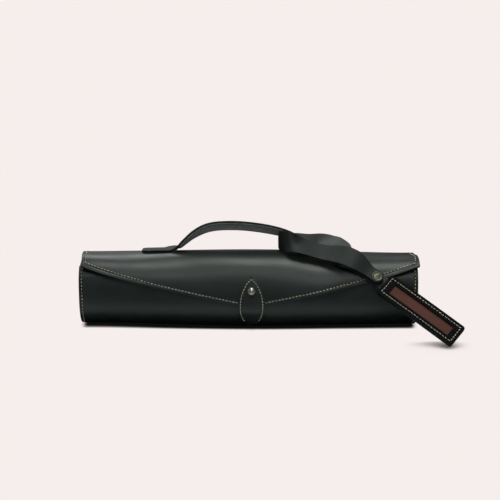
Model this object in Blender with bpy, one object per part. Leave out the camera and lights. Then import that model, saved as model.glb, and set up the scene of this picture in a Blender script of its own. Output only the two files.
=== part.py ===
"""Leather hat roll case: a soft-cornered roll of black leather with end panels,
a pointed front flap, a closing tab on a ball stud, a carrying handle and a
luggage tag on a snapped strap.  Metres, +Z up, resting on z = 0."""
import math

import bmesh
import bpy
from mathutils import Matrix, Vector

for old in list(bpy.data.objects):
    bpy.data.objects.remove(old, do_unlink=True)

MM = 0.001
GAP = 0.35 * MM            # air between neighbouring pieces
LEATHER = 2.8 * MM         # main panels
HALF_LENGTH = 166 * MM

# outline of the case wall, middle and ends
DEPTH_MIDDLE = 37.6 * MM
DEPTH_END = 35.6 * MM
TOP_MIDDLE = 72.8 * MM
TOP_ENDS = (70.2 * MM, 68.8 * MM)
BOTTOM_MIDDLE = -1.2 * MM
BOTTOM_ENDS = (2.6 * MM, 1.2 * MM)
UPPER_ROUNDNESS = (2.35, 3.1)
LOWER_ROUNDNESS = (2.35, 2.5)

MOUTH_HEIGHT = 65.5 * MM   # upper edge of the front of the body panel
HINGE_HEIGHT = 62.0 * MM   # where the flap leaves the back of the case

# flap
FLAP_LEFT_TOP = -165.4 * MM
FLAP_LEFT_CORNER = -160.6 * MM
FLAP_RIGHT_TOP = 166.2 * MM
FLAP_RIGHT_CORNER = 167.2 * MM
FLAP_CREST = 0.4           # share of the flap, from the hinge, with straight sides
FLAP_CORNER_HEIGHT = 61.5 * MM
FLAP_APEX_HEIGHT = 27.5 * MM
FLAP_APEX_SOFTNESS = 9 * MM
FLAP_SEAM_INSET = 4.0 * MM
CENTRE_X = 3.0 * MM        # tab, stud and flap point sit a little to the right

# end panels
END_RIM_DEPTH = 7.0 * MM
END_LEATHER = 2.0 * MM
END_SEAM_INSET = 3.0 * MM

# closing tab and stud
TAB_LEATHER = 2.5 * MM
TAB_HALF_WIDTH = 13.8 * MM
TAB_MIDDLE_HEIGHT = 29.6 * MM
TAB_HALF_LENGTH = 26.2 * MM
TAB_HINGE_HEIGHT = 20.0 * MM
TAB_RAMP = 6.0 * MM
TAB_SEAM_INSET = 2.9 * MM
STUD_HEIGHT = 44.0 * MM
STUD_BALL_RADIUS = 4.0 * MM
STUD_NECK_RADIUS = 2.2 * MM
STUD_SHANK_RADIUS = 1.6 * MM
TAB_HOLE_RADIUS = 2.65 * MM

THREAD = 0.8 * MM

# handle
HANDLE_WIDTH = 19.5 * MM
HANDLE_THICK = 3.0 * MM
HANDLE_PIVOT_Z = 76.0 * MM
HANDLE_LEAN = math.radians(34)
HANDLE_CUT_LEFT = -56 * MM
HANDLE_CUT_RIGHT = 54 * MM
ANCHOR_END = 106 * MM

# tag strap
STRAP_WIDTH = 20.8 * MM
STRAP_THICK = 2.0 * MM

# tag
TAG_LENGTH = 87.4 * MM
TAG_WIDTH = 24.6 * MM
TAG_CORNER = 3.0 * MM
TAG_LEATHER = 1.5 * MM
TAG_INSERT_THICK = 0.8 * MM
TAG_WINDOW_LENGTH = 69 * MM
TAG_WINDOW_WIDTH = 11 * MM
TAG_SEAM_INSET = 3.4 * MM
TAG_CENTRE = Vector((164.8, -64.0, 30.8)) * MM
TAG_LONG = Vector((0.772, -0.401, -0.493)).normalized()
TAG_UP = Vector((0.634, 0.536, 0.558)).normalized()
TAG_FACE = TAG_LONG.cross(TAG_UP).normalized()
SNAP_FROM_EDGE = 9.0 * MM


# ---------------------------------------------------------------- materials
def make_material(name, colour, roughness, metallic=0.0):
    material = bpy.data.materials.new(name)
    material.use_nodes = True
    shader = material.node_tree.nodes["Principled BSDF"]
    shader.inputs["Base Color"].default_value = (*colour, 1.0)
    shader.inputs["Roughness"].default_value = roughness
    shader.inputs["Metallic"].default_value = metallic
    return material


LEATHER_BLACK = make_material("black_leather", (0.015, 0.017, 0.017), 0.45)
LEATHER_GREY = make_material("handle_leather", (0.022, 0.024, 0.023), 0.55)
THREAD_TAN = make_material("tan_thread", (0.52, 0.40, 0.26), 0.8)
THREAD_BLACK = make_material("black_thread", (0.02, 0.02, 0.02), 0.8)
METAL = make_material("aged_nickel", (0.50, 0.48, 0.42), 0.3, 1.0)
CARD_BROWN = make_material("brown_card", (0.11, 0.055, 0.04), 0.7)


# ---------------------------------------------------------------- small maths
def mix(a, b, amount):
    return a + (b - a) * amount


def smooth(value):
    value = max(0.0, min(1.0, value))
    return value * value * (3 - 2 * value)


def spline(stations, count):
    """Smooth curve through tuples of numbers, evenly stepped between stations."""
    result = []
    last = len(stations) - 1
    for step in range(count):
        place = step * last / (count - 1)
        index = min(int(place), last - 1)
        f = place - index
        p0 = stations[max(index - 1, 0)]
        p1 = stations[index]
        p2 = stations[index + 1]
        p3 = stations[min(index + 2, last)]
        point = []
        for a, b, c, d in zip(p0, p1, p2, p3):
            value = 2 * b + (c - a) * f
            value += (2 * a - 5 * b + 4 * c - d) * f ** 2
            value += (3 * b - a - 3 * c + d) * f ** 3
            point.append(0.5 * value)
        result.append(tuple(point))
    return result


# ---------------------------------------------------------------- case outline
section_cache = {}


def section_table(x):
    """Closed outline at x, from bottom centre by the front to the top and back,
    as (arc, y, z, normal_y, normal_z)."""
    key = round(x, 7)
    if key in section_cache:
        return section_cache[key]
    end = smooth(abs(x) / HALF_LENGTH)
    depth = mix(DEPTH_MIDDLE, DEPTH_END, end)
    top = mix(TOP_MIDDLE, TOP_ENDS[x > 0], end)
    bottom = mix(BOTTOM_MIDDLE, BOTTOM_ENDS[x > 0], end)
    upper = mix(*UPPER_ROUNDNESS, end)
    lower = mix(*LOWER_ROUNDNESS, end)
    middle = (top + bottom) / 2
    half = (top - bottom) / 2
    steps = 720
    points = []
    for i in range(steps):
        angle = -math.pi / 2 - 2 * math.pi * i / steps
        cos, sin = math.cos(angle), math.sin(angle)
        power = 2 / (upper if sin > 0 else lower)
        y = depth * math.copysign(abs(cos) ** power, cos)
        z = middle + half * math.copysign(abs(sin) ** power, sin)
        points.append((y, max(z, 0.0)))
    table = []
    arc = 0.0
    for i, (y, z) in enumerate(points):
        before = points[i - 3]
        after = points[(i + 3) % steps]
        ty, tz = after[0] - before[0], after[1] - before[1]
        size = math.hypot(ty, tz)
        table.append((arc, y, z, -tz / size, ty / size))
        nxt = points[(i + 1) % steps]
        arc += math.hypot(nxt[0] - y, nxt[1] - z)
    section_cache[key] = (table, arc)
    return section_cache[key]


def wall_point(x, arc, offset=0.0):
    """Point on the outline at a given arc length, moved outward by offset."""
    table, total = section_table(x)
    arc %= total
    low, high = 0, len(table) - 1
    while high - low > 1:
        half = (low + high) // 2
        if table[half][0] <= arc:
            low = half
        else:
            high = half
    if table[high][0] <= arc:
        low, high = high, 0
    a = table[low]
    b = table[high]
    span = (b[0] if high else total) - a[0]
    f = (arc - a[0]) / span if span > 0 else 0.0
    y, z, ny, nz = (mix(a[k], b[k], f) for k in (1, 2, 3, 4))
    size = math.hypot(ny, nz)
    return Vector((x, y + offset * ny / size, z + offset * nz / size))


def arc_at_height(x, height, back=False):
    """Arc length where the front (or back) of the outline passes a height."""
    table, total = section_table(x)
    best, found = None, 0.0
    for arc, y, z, _ny, _nz in table:
        if (y > 0) != back:
            continue
        if abs(y) < 5 * MM:
            continue
        distance = abs(z - height)
        if best is None or distance < best:
            best, found = distance, arc
    return found


def arc_top(x):
    return section_table(x)[1] / 2


# ---------------------------------------------------------------- mesh helpers
def finish(name, bm, material, flat=False):
    bmesh.ops.remove_doubles(bm, verts=bm.verts, dist=1e-7)
    bmesh.ops.recalc_face_normals(bm, faces=bm.faces)
    mesh = bpy.data.meshes.new(name)
    bm.to_mesh(mesh)
    bm.free()
    for face in mesh.polygons:
        face.use_smooth = not flat
    mesh.materials.append(material)
    obj = bpy.data.objects.new(name, mesh)
    bpy.context.scene.collection.objects.link(obj)
    return obj


def add_slab(bm, outer, inner):
    """Closed solid between two equal grids of points."""
    rows, cols = len(outer), len(outer[0])
    top = [[bm.verts.new(p) for p in row] for row in outer]
    low = [[bm.verts.new(p) for p in row] for row in inner]
    for i in range(rows - 1):
        for j in range(cols - 1):
            bm.faces.new((top[i][j], top[i][j + 1], top[i + 1][j + 1], top[i + 1][j]))
            bm.faces.new((low[i][j], low[i + 1][j], low[i + 1][j + 1], low[i][j + 1]))
    rim = [(0, j) for j in range(cols)]
    rim += [(i, cols - 1) for i in range(1, rows)]
    rim += [(rows - 1, j) for j in range(cols - 2, -1, -1)]
    rim += [(i, 0) for i in range(rows - 2, 0, -1)]
    for k, (i, j) in enumerate(rim):
        m, n = rim[(k + 1) % len(rim)]
        bm.faces.new((top[i][j], low[i][j], low[m][n], top[m][n]))


def add_bar(bm, centres, sides, faces, widths, thick):
    """Closed bar of rectangular section along a line of centres."""
    rings = []
    for centre, side, face, width in zip(centres, sides, faces, widths):
        a = side * width / 2
        b = face * thick / 2
        ring = [centre + a + b, centre - a + b, centre - a - b, centre + a - b]
        rings.append([bm.verts.new(p) for p in ring])
    for first, second in zip(rings, rings[1:]):
        for k in range(4):
            m = (k + 1) % 4
            bm.faces.new((first[k], first[m], second[m], second[k]))
    bm.faces.new(rings[0][::-1])
    bm.faces.new(rings[-1])


def add_line(bm, centres, normals, size, closed=False):
    """Thread of square section lying along a line of points."""
    rings = []
    count = len(centres)
    for i, (centre, normal) in enumerate(zip(centres, normals)):
        before = centres[i - 1] if i or closed else centres[i]
        after = centres[(i + 1) % count] if i < count - 1 or closed else centres[i]
        along = (after - before).normalized()
        side = along.cross(normal).normalized() * size / 2
        up = normal.normalized() * size / 2
        ring = [centre + side + up, centre - side + up, centre - side - up, centre + side - up]
        rings.append([bm.verts.new(p) for p in ring])
    pairs = list(zip(rings, rings[1:]))
    if closed:
        pairs.append((rings[-1], rings[0]))
    for first, second in pairs:
        for k in range(4):
            m = (k + 1) % 4
            bm.faces.new((first[k], first[m], second[m], second[k]))
    if not closed:
        bm.faces.new(rings[0][::-1])
        bm.faces.new(rings[-1])


def turned(name, profile, centre, axis, material, segments=28):
    """Solid of revolution: profile of (radius, height) from axis to axis."""
    bm = bmesh.new()
    turn = axis.to_track_quat("Z", "Y").to_matrix()
    rings = []
    for radius, height in profile:
        if radius < 1e-9:
            rings.append([bm.verts.new(centre + turn @ Vector((0, 0, height)))])
            continue
        ring = []
        for k in range(segments):
            angle = 2 * math.pi * k / segments
            local = Vector((radius * math.cos(angle), radius * math.sin(angle), height))
            ring.append(bm.verts.new(centre + turn @ local))
        rings.append(ring)
    pairs = list(zip(rings, rings[1:]))
    if len(rings[0]) > 1:
        pairs.append((rings[-1], rings[0]))
    for first, second in pairs:
        for k in range(segments):
            m = (k + 1) % segments
            corners = [first[k % len(first)], first[m % len(first)]]
            corners += [second[m % len(second)], second[k % len(second)]]
            unique = []
            for vertex in corners:
                if vertex not in unique:
                    unique.append(vertex)
            bm.faces.new(unique)
    return finish(name, bm, material)


def cutter(name, bm):
    tool = finish(name, bm, LEATHER_BLACK, flat=True)
    tool.hide_render = True
    tool.display_type = "WIRE"
    return tool


def round_cutter(name, centre, axis, radius, low, high, segments=24):
    profile = [(0, low), (radius, low), (radius, high), (0, high)]
    tool = turned(name, profile, centre, axis, LEATHER_BLACK, segments)
    tool.hide_render = True
    tool.display_type = "WIRE"
    return tool


def cut(target, tool):
    modifier = target.modifiers.new("opening", "BOOLEAN")
    modifier.operation = "DIFFERENCE"
    modifier.solver = "EXACT"
    modifier.object = tool


# ---------------------------------------------------------------- body panel
def body_panel():
    columns = [-166, -150, -120, -85, -45, 0, 45, 85, 120, 150, 166]
    rows = 40
    outer, inner = [], []
    for i in range(rows + 1):
        outer_row, inner_row = [], []
        for column in columns:
            x = column * MM
            total = section_table(x)[1]
            start = arc_at_height(x, MOUTH_HEIGHT)
            stop = arc_at_height(x, HINGE_HEIGHT, back=True) - total
            arc = mix(start, stop, i / rows)
            outer_row.append(wall_point(x, arc))
            inner_row.append(wall_point(x, arc, -LEATHER))
        outer.append(outer_row)
        inner.append(inner_row)
    bm = bmesh.new()
    add_slab(bm, outer, inner)
    return finish("body_panel", bm, LEATHER_BLACK)


def end_panel(name, side):
    """Pan-shaped end: a wall set in from the end with its rim turned outward."""
    steps = 44
    rim_x = side * HALF_LENGTH
    wall_in = side * (HALF_LENGTH - END_RIM_DEPTH - END_LEATHER)
    wall_out = side * (HALF_LENGTH - END_RIM_DEPTH)
    outside = -(LEATHER + GAP)
    inside = outside - END_LEATHER
    total = section_table(rim_x)[1]

    def ring(x, offset):
        points = []
        for k in range(steps):
            point = wall_point(rim_x, total * k / steps, offset)
            point.x = x
            points.append(point)
        return points

    rings = [ring(wall_out, inside), ring(rim_x, inside)]
    rings += [ring(rim_x, outside), ring(wall_in, outside)]
    bm = bmesh.new()
    loops = [[bm.verts.new(p) for p in points] for points in rings]
    for first, second in zip(loops, loops[1:]):
        for k in range(steps):
            m = (k + 1) % steps
            bm.faces.new((first[k], first[m], second[m], second[k]))
    bm.faces.new(loops[0])
    bm.faces.new(loops[-1])
    bmesh.ops.triangulate(bm, faces=[f for f in bm.faces if len(f.verts) > 4])
    return finish(name, bm, LEATHER_BLACK)


def end_thread(name, side, back):
    """Seam joining an end panel to the body, up the front or up the back."""
    x = side * (HALF_LENGTH - END_SEAM_INSET)
    total = section_table(x)[1]
    lift = GAP + THREAD / 2
    start = arc_at_height(x, 58.0 * MM if back else 56.5 * MM, back)
    stop = arc_at_height(x, 3.2 * MM, back)
    bm = bmesh.new()
    centres, normals = [], []
    for k in range(19):
        arc = mix(start, stop, k / 18) % total
        centres.append(wall_point(x, arc, lift))
        normals.append(wall_point(x, arc, lift + MM) - wall_point(x, arc, lift))
    add_line(bm, centres, normals, THREAD)
    return finish(name, bm, THREAD_TAN)


# ---------------------------------------------------------------- flap
def flap_hinge_arc(x):
    return arc_at_height(x, HINGE_HEIGHT, back=True) - GAP


def flap_edge_height(x):
    """Height of the pointed lower edge of the flap."""
    reach = (x - CENTRE_X) / (FLAP_RIGHT_CORNER - CENTRE_X)
    if x < CENTRE_X:
        reach = (CENTRE_X - x) / (CENTRE_X - FLAP_LEFT_CORNER)
    soft = FLAP_APEX_SOFTNESS / (HALF_LENGTH)
    reach = math.sqrt(reach * reach + soft * soft) - soft
    reach /= math.sqrt(1 + soft * soft) - soft
    return mix(FLAP_APEX_HEIGHT, FLAP_CORNER_HEIGHT, reach)


def flap_lift(x, arc):
    """How far the outer face of the flap stands off the case outline."""
    hinge = flap_hinge_arc(x)
    mouth = arc_at_height(x, MOUTH_HEIGHT)
    along = (hinge - arc) / (hinge - mouth - 6 * MM)
    return (LEATHER + GAP + 0.1 * MM) * smooth(along)


def flap_column(share):
    """Lines running from the hinge to the pointed edge: top x and edge x."""
    top = mix(FLAP_LEFT_TOP, FLAP_RIGHT_TOP, share)
    low = mix(FLAP_LEFT_CORNER, FLAP_RIGHT_CORNER, share)
    return top, low


def past_crest(along):
    """The sides of the flap run straight to the crest, then slope to the edge."""
    return max(0.0, along - FLAP_CREST) / (1 - FLAP_CREST)


def flap_point(share, along, extra=0.0):
    """share runs left to right, along runs from the hinge to the edge."""
    top, low = flap_column(share)
    x = mix(top, low, past_crest(along))
    hinge = flap_hinge_arc(x)
    edge = arc_at_height(x, flap_edge_height(low))
    arc = mix(hinge, edge, along)
    return wall_point(x, arc, flap_lift(x, arc) + extra)


def flap_panel():
    shares = [0, 0.03, 0.08, 0.14, 0.21, 0.29, 0.36, 0.42, 0.46, 0.48, 0.494]
    shares += [0.506, 0.52, 0.54, 0.58, 0.64, 0.71, 0.79, 0.86, 0.92, 0.97, 1]
    rows = 26
    outer, inner = [], []
    for i in range(rows + 1):
        outer.append([flap_point(s, i / rows) for s in shares])
        inner.append([flap_point(s, i / rows, -LEATHER) for s in shares])
    bm = bmesh.new()
    add_slab(bm, outer, inner)
    return finish("flap_panel", bm, LEATHER_BLACK)


def flap_share(x, along):
    left = mix(FLAP_LEFT_TOP, FLAP_LEFT_CORNER, past_crest(along))
    right = mix(FLAP_RIGHT_TOP, FLAP_RIGHT_CORNER, past_crest(along))
    return (x - left) / (right - left)


def flap_thread(name, side):
    """Seam down one side of the flap and along its pointed edge to the tab."""
    lift = GAP + THREAD / 2
    path = []
    inset = FLAP_SEAM_INSET / (2 * HALF_LENGTH)
    edge_share = inset if side < 0 else 1 - inset
    for k in range(15):
        path.append((edge_share, mix(0.02, 0.955, k / 14)))
    stop_share = flap_share(CENTRE_X + side * 16 * MM, 1)
    for k in range(1, 17):
        share = mix(edge_share, stop_share, k / 16)
        _top, low = flap_column(share)
        length = abs(flap_hinge_arc(low) - arc_at_height(low, flap_edge_height(low)))
        path.append((share, 1 - mix(4.0, 2.9, k / 16) * MM / length))
    centres = [flap_point(s, a, lift) for s, a in path]
    above = [flap_point(s, a, lift + MM) for s, a in path]
    bm = bmesh.new()
    add_line(bm, centres, [b - a for a, b in zip(centres, above)], THREAD)
    return finish(name, bm, THREAD_TAN)


# ---------------------------------------------------------------- tab and stud
FLAP_STAND_OFF = LEATHER + GAP + 0.1 * MM


def tab_half_width(distance):
    """Half width of the leaf-shaped tab at a distance from its middle."""
    reach = min(abs(distance) / TAB_HALF_LENGTH, 1.0)
    return TAB_HALF_WIDTH * (1 - reach ** 2.2) ** 0.52 + 0.9 * MM * reach


def tab_piece(name, start, stop, rows, offset_at):
    """Part of the tab between two distances above its middle."""
    middle_arc = arc_at_height(CENTRE_X, TAB_MIDDLE_HEIGHT)
    outer, inner = [], []
    for i in range(rows + 1):
        distance = mix(start, stop, i / rows)
        half = tab_half_width(distance)
        low = offset_at(distance)
        outer_row, inner_row = [], []
        for k in range(9):
            x = CENTRE_X + half * mix(-1, 1, k / 8)
            inner_row.append(wall_point(x, middle_arc + distance, low))
            outer_row.append(wall_point(x, middle_arc + distance, low + TAB_LEATHER))
        outer.append(outer_row)
        inner.append(inner_row)
    bm = bmesh.new()
    add_slab(bm, outer, inner)
    return finish(name, bm, LEATHER_BLACK)


def tab_hinge_distance():
    hinge = arc_at_height(CENTRE_X, TAB_HINGE_HEIGHT)
    return hinge - arc_at_height(CENTRE_X, TAB_MIDDLE_HEIGHT)


def tongue_offset(distance):
    rise = smooth((distance - tab_hinge_distance()) / TAB_RAMP)
    return GAP + (FLAP_STAND_OFF + 0.1 * MM) * rise


def base_offset(_distance):
    return GAP


def tab_seam(name, start, stop, offset_at):
    """Stitching a little inside the edge of one half of the tab."""
    middle_arc = arc_at_height(CENTRE_X, TAB_MIDDLE_HEIGHT)
    reach = TAB_HALF_LENGTH - TAB_SEAM_INSET - 0.6 * MM
    stop = math.copysign(min(abs(stop), reach), stop)
    path = []
    steps = 24
    for k in range(steps + 1):
        path.append((-1, mix(start, stop, k / steps)))
    for k in range(steps, -1, -1):
        path.append((1, mix(start, stop, k / steps)))
    bm = bmesh.new()
    centres, normals = [], []
    for side, distance in path:
        share = abs(distance) / (TAB_HALF_LENGTH - TAB_SEAM_INSET)
        half = (TAB_HALF_WIDTH - TAB_SEAM_INSET) * (1 - share ** 2.2) ** 0.52
        x = CENTRE_X + side * half
        level = offset_at(distance) + TAB_LEATHER + GAP + THREAD / 2
        point = wall_point(x, middle_arc + distance, level)
        centres.append(point)
        normals.append(wall_point(x, middle_arc + distance, level + MM) - point)
    add_line(bm, centres, normals, THREAD)
    return finish(name, bm, THREAD_TAN)


def make_tab():
    hinge = tab_hinge_distance()
    base = tab_piece("tab_base", -TAB_HALF_LENGTH, hinge - GAP, 8, base_offset)
    base_thread = tab_seam("tab_base_thread", hinge - 1.2 * MM, -TAB_HALF_LENGTH, base_offset)
    tongue = tab_piece("tab_tongue", hinge, TAB_HALF_LENGTH, 16, tongue_offset)
    thread = tab_seam("tab_thread", hinge + 1.2 * MM, TAB_HALF_LENGTH, tongue_offset)
    return base, base_thread, tongue, thread


def stud_frame():
    arc = arc_at_height(CENTRE_X, STUD_HEIGHT)
    seat = wall_point(CENTRE_X, arc, FLAP_STAND_OFF)
    axis = (wall_point(CENTRE_X, arc, FLAP_STAND_OFF + MM) - seat).normalized()
    return seat, axis


def make_stud(flap, tongue):
    seat, axis = stud_frame()
    ball = 7.1 * MM
    profile = [(0, -1.0 * MM), (STUD_SHANK_RADIUS, -1.0 * MM), (STUD_SHANK_RADIUS, GAP)]
    profile.append((STUD_NECK_RADIUS, GAP))
    first = math.asin(STUD_NECK_RADIUS / STUD_BALL_RADIUS)
    for k in range(9):
        angle = mix(math.pi - first, 0, k / 8)
        radius = STUD_BALL_RADIUS * math.sin(angle)
        profile.append((max(radius, 0.0), ball + STUD_BALL_RADIUS * math.cos(angle)))
    profile[-1] = (0, ball + STUD_BALL_RADIUS)
    head = turned("stud_head", profile, seat, axis, METAL)
    low = -LEATHER + 0.2 * MM
    profile = [(0, low), (3.9 * MM, low), (3.9 * MM, low + 0.6 * MM)]
    profile += [(3.4 * MM, low + 0.9 * MM), (0, low + 0.9 * MM)]
    screw = turned("stud_screw", profile, seat, axis, METAL)
    cut(flap, round_cutter("cut_shank", seat, axis, STUD_SHANK_RADIUS + 0.35 * MM, -2 * MM, 2 * MM))
    cut(flap, round_cutter("cut_screw", seat, axis, 4.3 * MM, -5 * MM, low + 1.25 * MM))
    cut(tongue, round_cutter("cut_stud", seat, axis, TAB_HOLE_RADIUS, -2 * MM, 6 * MM))
    return head, screw


# ---------------------------------------------------------------- handle
def handle_shape():
    """Control points along the handle: x and height above the pivot line, mm."""
    return [
        (-78, 0.0), (-72, 1.6), (-67, 4.6), (-62, 9.2), (-55, 15.3), (-46, 20.8),
        (-36, 24.0), (-22, 25.2), (-6, 24.8), (12, 22.6), (28, 19.2), (40, 15.2),
        (50, 10.3), (57, 6.4), (63, 3.4), (70, 1.0), (78, 0.0),
    ]


def flap_top(x):
    """Greatest height of the flap across the width of the handle."""
    heights = []
    for k in range(-5, 6):
        arc = arc_top(x) + k / 5 * HANDLE_WIDTH / 2
        heights.append(wall_point(x, arc, flap_lift(x, arc)).z)
    return max(heights) + 0.1 * MM


def handle_samples():
    """Centre line, side and face vectors of the whole handle band."""
    rest = HANDLE_THICK / 2 + GAP
    result = []
    for x, height in spline(handle_shape(), 97):
        x *= MM
        height *= MM
        lean = HANDLE_LEAN * smooth(height / (12 * MM))
        foot = flap_top(x) + rest
        y = height * math.sin(lean)
        z = mix(foot, HANDLE_PIVOT_Z, smooth(height / (12 * MM))) + height * math.cos(lean)
        side = Vector((0, -math.cos(lean), math.sin(lean)))
        result.append((Vector((x, y, z)), side))
    return result


def band(name, samples, material, widths=None, thick=HANDLE_THICK):
    centres = [s[0] for s in samples]
    widths = widths or [HANDLE_WIDTH] * len(samples)
    sides, faces = [], []
    for i, (centre, side) in enumerate(samples):
        along = centres[min(i + 1, len(centres) - 1)] - centres[max(i - 1, 0)]
        along.normalize()
        face = side.cross(along).normalized()
        sides.append(along.cross(face).normalized())
        faces.append(face)
    bm = bmesh.new()
    add_bar(bm, centres, sides, faces, widths, thick)
    obj = finish(name, bm, material)
    return obj, centres, sides, faces


def cut_at(samples, low, high):
    """Samples between two x planes, with exact end points."""
    result = []
    for first, second in zip(samples, samples[1:]):
        for limit in (low, high):
            if first[0].x < limit <= second[0].x:
                f = (limit - first[0].x) / (second[0].x - first[0].x)
                side = first[1].lerp(second[1], f).normalized()
                result.append((first[0].lerp(second[0], f), side))
        if low < second[0].x < high:
            result.append(second)
    return result


def flat_anchor(side):
    """Samples of the flat sewn end of the handle."""
    rest = HANDLE_THICK / 2 + GAP
    result = []
    for k in range(5):
        x = mix(ANCHOR_END, 79.5 * MM, k / 4) * side
        result.append((Vector((x, 0, flap_top(x) + rest)), Vector((0, -1, 0))))
    return result


def flatten_end(obj, plane_x, direction):
    """Push the end ring of a band onto the cutting plane."""
    count = len(obj.data.vertices)
    ring = range(count - 4, count) if direction > 0 else range(0, 4)
    for index in ring:
        obj.data.vertices[index].co.x = plane_x


def make_handle():
    samples = handle_samples()
    half_gap = GAP / 2
    grip_samples = cut_at(samples, HANDLE_CUT_LEFT + half_gap, HANDLE_CUT_RIGHT - half_gap)
    thin = [grip_samples[0]]
    thin += grip_samples[2:-2:2]
    thin += [grip_samples[-1]]
    grip, centres, sides, faces = band("handle_grip", thin, LEATHER_GREY)
    flatten_end(grip, HANDLE_CUT_LEFT + half_gap, -1)
    flatten_end(grip, HANDLE_CUT_RIGHT - half_gap, 1)

    threads = []
    for name, side in (("handle_thread_near", 1), ("handle_thread_far", -1)):
        line, normals = [], []
        for c, s, f in list(zip(centres, sides, faces))[1:-1]:
            offset = HANDLE_WIDTH / 2 - 2.6 * MM
            level = HANDLE_THICK / 2 + GAP + THREAD * 0.35
            line.append(c + s * side * offset + f * level)
            normals.append(f)
        bm = bmesh.new()
        add_line(bm, line, normals, THREAD * 0.7)
        threads.append(finish(name, bm, THREAD_BLACK))

    left = cut_at(samples, -79 * MM, HANDLE_CUT_LEFT - half_gap)
    left = flat_anchor(-1) + left[1::2]
    if left[-1][0].x < HANDLE_CUT_LEFT - half_gap - 1e-6:
        left.append(cut_at(samples, -79 * MM, HANDLE_CUT_LEFT - half_gap)[-1])
    anchor_left, *_rest = band("handle_anchor_left", left, LEATHER_GREY)
    flatten_end(anchor_left, HANDLE_CUT_LEFT - half_gap, 1)

    right = cut_at(samples, HANDLE_CUT_RIGHT + half_gap, 79 * MM)
    right = [right[0]] + right[4:-1:2] + flat_anchor(1)[::-1]
    anchor_right, *_rest = band("handle_anchor_right", right, LEATHER_GREY)
    flatten_end(anchor_right, HANDLE_CUT_RIGHT + half_gap, -1)
    return grip, threads, anchor_left, anchor_right


def anchor_thread(name, side):
    """Box of stitching that holds a handle end to the flap."""
    inset = 2.6 * MM
    near = 80 * MM
    far = ANCHOR_END - inset
    half = HANDLE_WIDTH / 2 - inset
    level = HANDLE_THICK + 2 * GAP + THREAD / 2
    corners = [(near, -half), (far, -half), (far, half), (near, half)]
    centres = []
    for (x0, y0), (x1, y1) in zip(corners, corners[1:] + corners[:1]):
        for k in range(4):
            x = mix(x0, x1, k / 4) * side
            centres.append(Vector((x, mix(y0, y1, k / 4), flap_top(x) + level)))
    bm = bmesh.new()
    add_line(bm, centres, [Vector((0, 0, 1))] * len(centres), THREAD, closed=True)
    return finish(name, bm, THREAD_BLACK)


# ---------------------------------------------------------------- tag strap
def tag_point(along, up, face=0.0):
    return TAG_CENTRE + TAG_LONG * along + TAG_UP * up + TAG_FACE * face


TAG_EDGE = -TAG_LENGTH / 2
SNAP_CENTRE = tag_point(TAG_EDGE - SNAP_FROM_EDGE, 0)
SNAP_REAR_LEVEL = -1.6 * MM
SNAP_FRONT_LEVEL = 3.5 * MM
TAG_HINGE_LEVEL = SNAP_REAR_LEVEL + STRAP_THICK / 2


MEETING = Vector((100, -35.6, 74.5)) * MM
MEETING_SIDE = Vector((0.45, 0.60, 0.66)).normalized()
MEETING_ALONG = Vector((0.78, -0.40, -0.48)).normalized()
MEETING_FACE = MEETING_ALONG.cross(MEETING_SIDE).normalized()
MEETING_SIDE = MEETING_FACE.cross(MEETING_ALONG).normalized()
FRONT_LEVEL = 1.5 * MM
STRAP_AXIS_POINT = MEETING + MEETING_FACE * (FRONT_LEVEL + STRAP_THICK / 2)
REAR_LEVEL = -1.2 * MM


def meeting_station(level, back):
    centre = (MEETING + MEETING_FACE * level - MEETING_ALONG * back) / MM
    return (*centre, *MEETING_SIDE, STRAP_WIDTH / MM)


def strap_stations():
    """Front ply from the meeting point, round the handle, and back by the rear.
    Each entry: x, y, z of the centre in mm, the upward side vector, the width."""
    return [
        meeting_station(FRONT_LEVEL, 0),
        meeting_station(FRONT_LEVEL, 8 * MM),
        (84, -25.0, 78.0, 0.34, 0.80, 0.50, 20.4),
        (71, -22.0, 78.8, 0.18, 0.88, 0.44, 20),
        (52, -19.5, 83.2, 0.08, 0.84, 0.54, 20),
        (40, -17.0, 87.2, 0.02, 0.35, 0.94, 20),
        (32.5, -9.5, 86.6, 0.00, 0.05, 1.00, 19),
        (30.8, 3.0, 82.6, 0.00, 0.10, 1.00, 13),
        (31.5, 12.5, 79.2, -0.05, 0.30, 0.95, 9.6),
        (35, 20.8, 77.6, -0.10, 0.45, 0.88, 11),
        (46, 24.6, 79.0, 0.00, 0.70, 0.70, 17),
        (60, 24.0, 79.0, 0.10, 0.80, 0.60, 17),
        (72, 21.5, 82.0, 0.25, 0.80, 0.55, 15),
        (81, 10.5, 83.0, 0.42, 0.84, 0.32, 17),
        (87, -3.0, 82.8, 0.50, 0.80, 0.28, 17.5),
        (91.5, -16.5, 80.6, 0.56, 0.70, 0.42, 19),
        meeting_station(REAR_LEVEL, 8 * MM),
        meeting_station(REAR_LEVEL, 0),
    ]


def strap_loop():
    samples, widths = [], []
    for x, y, z, a, b, c, width in spline(strap_stations(), 61):
        samples.append((Vector((x, y, z)) * MM, Vector((a, b, c)).normalized()))
        widths.append(width * MM)
    obj, *_rest = band("strap_loop", samples, LEATHER_BLACK, widths, STRAP_THICK)
    count = len(obj.data.vertices)
    for index in list(range(4)) + list(range(count - 4, count)):
        vertex = obj.data.vertices[index]
        vertex.co += MEETING_ALONG * ((MEETING - vertex.co).dot(MEETING_ALONG) - GAP / 2)
    return obj


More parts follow.
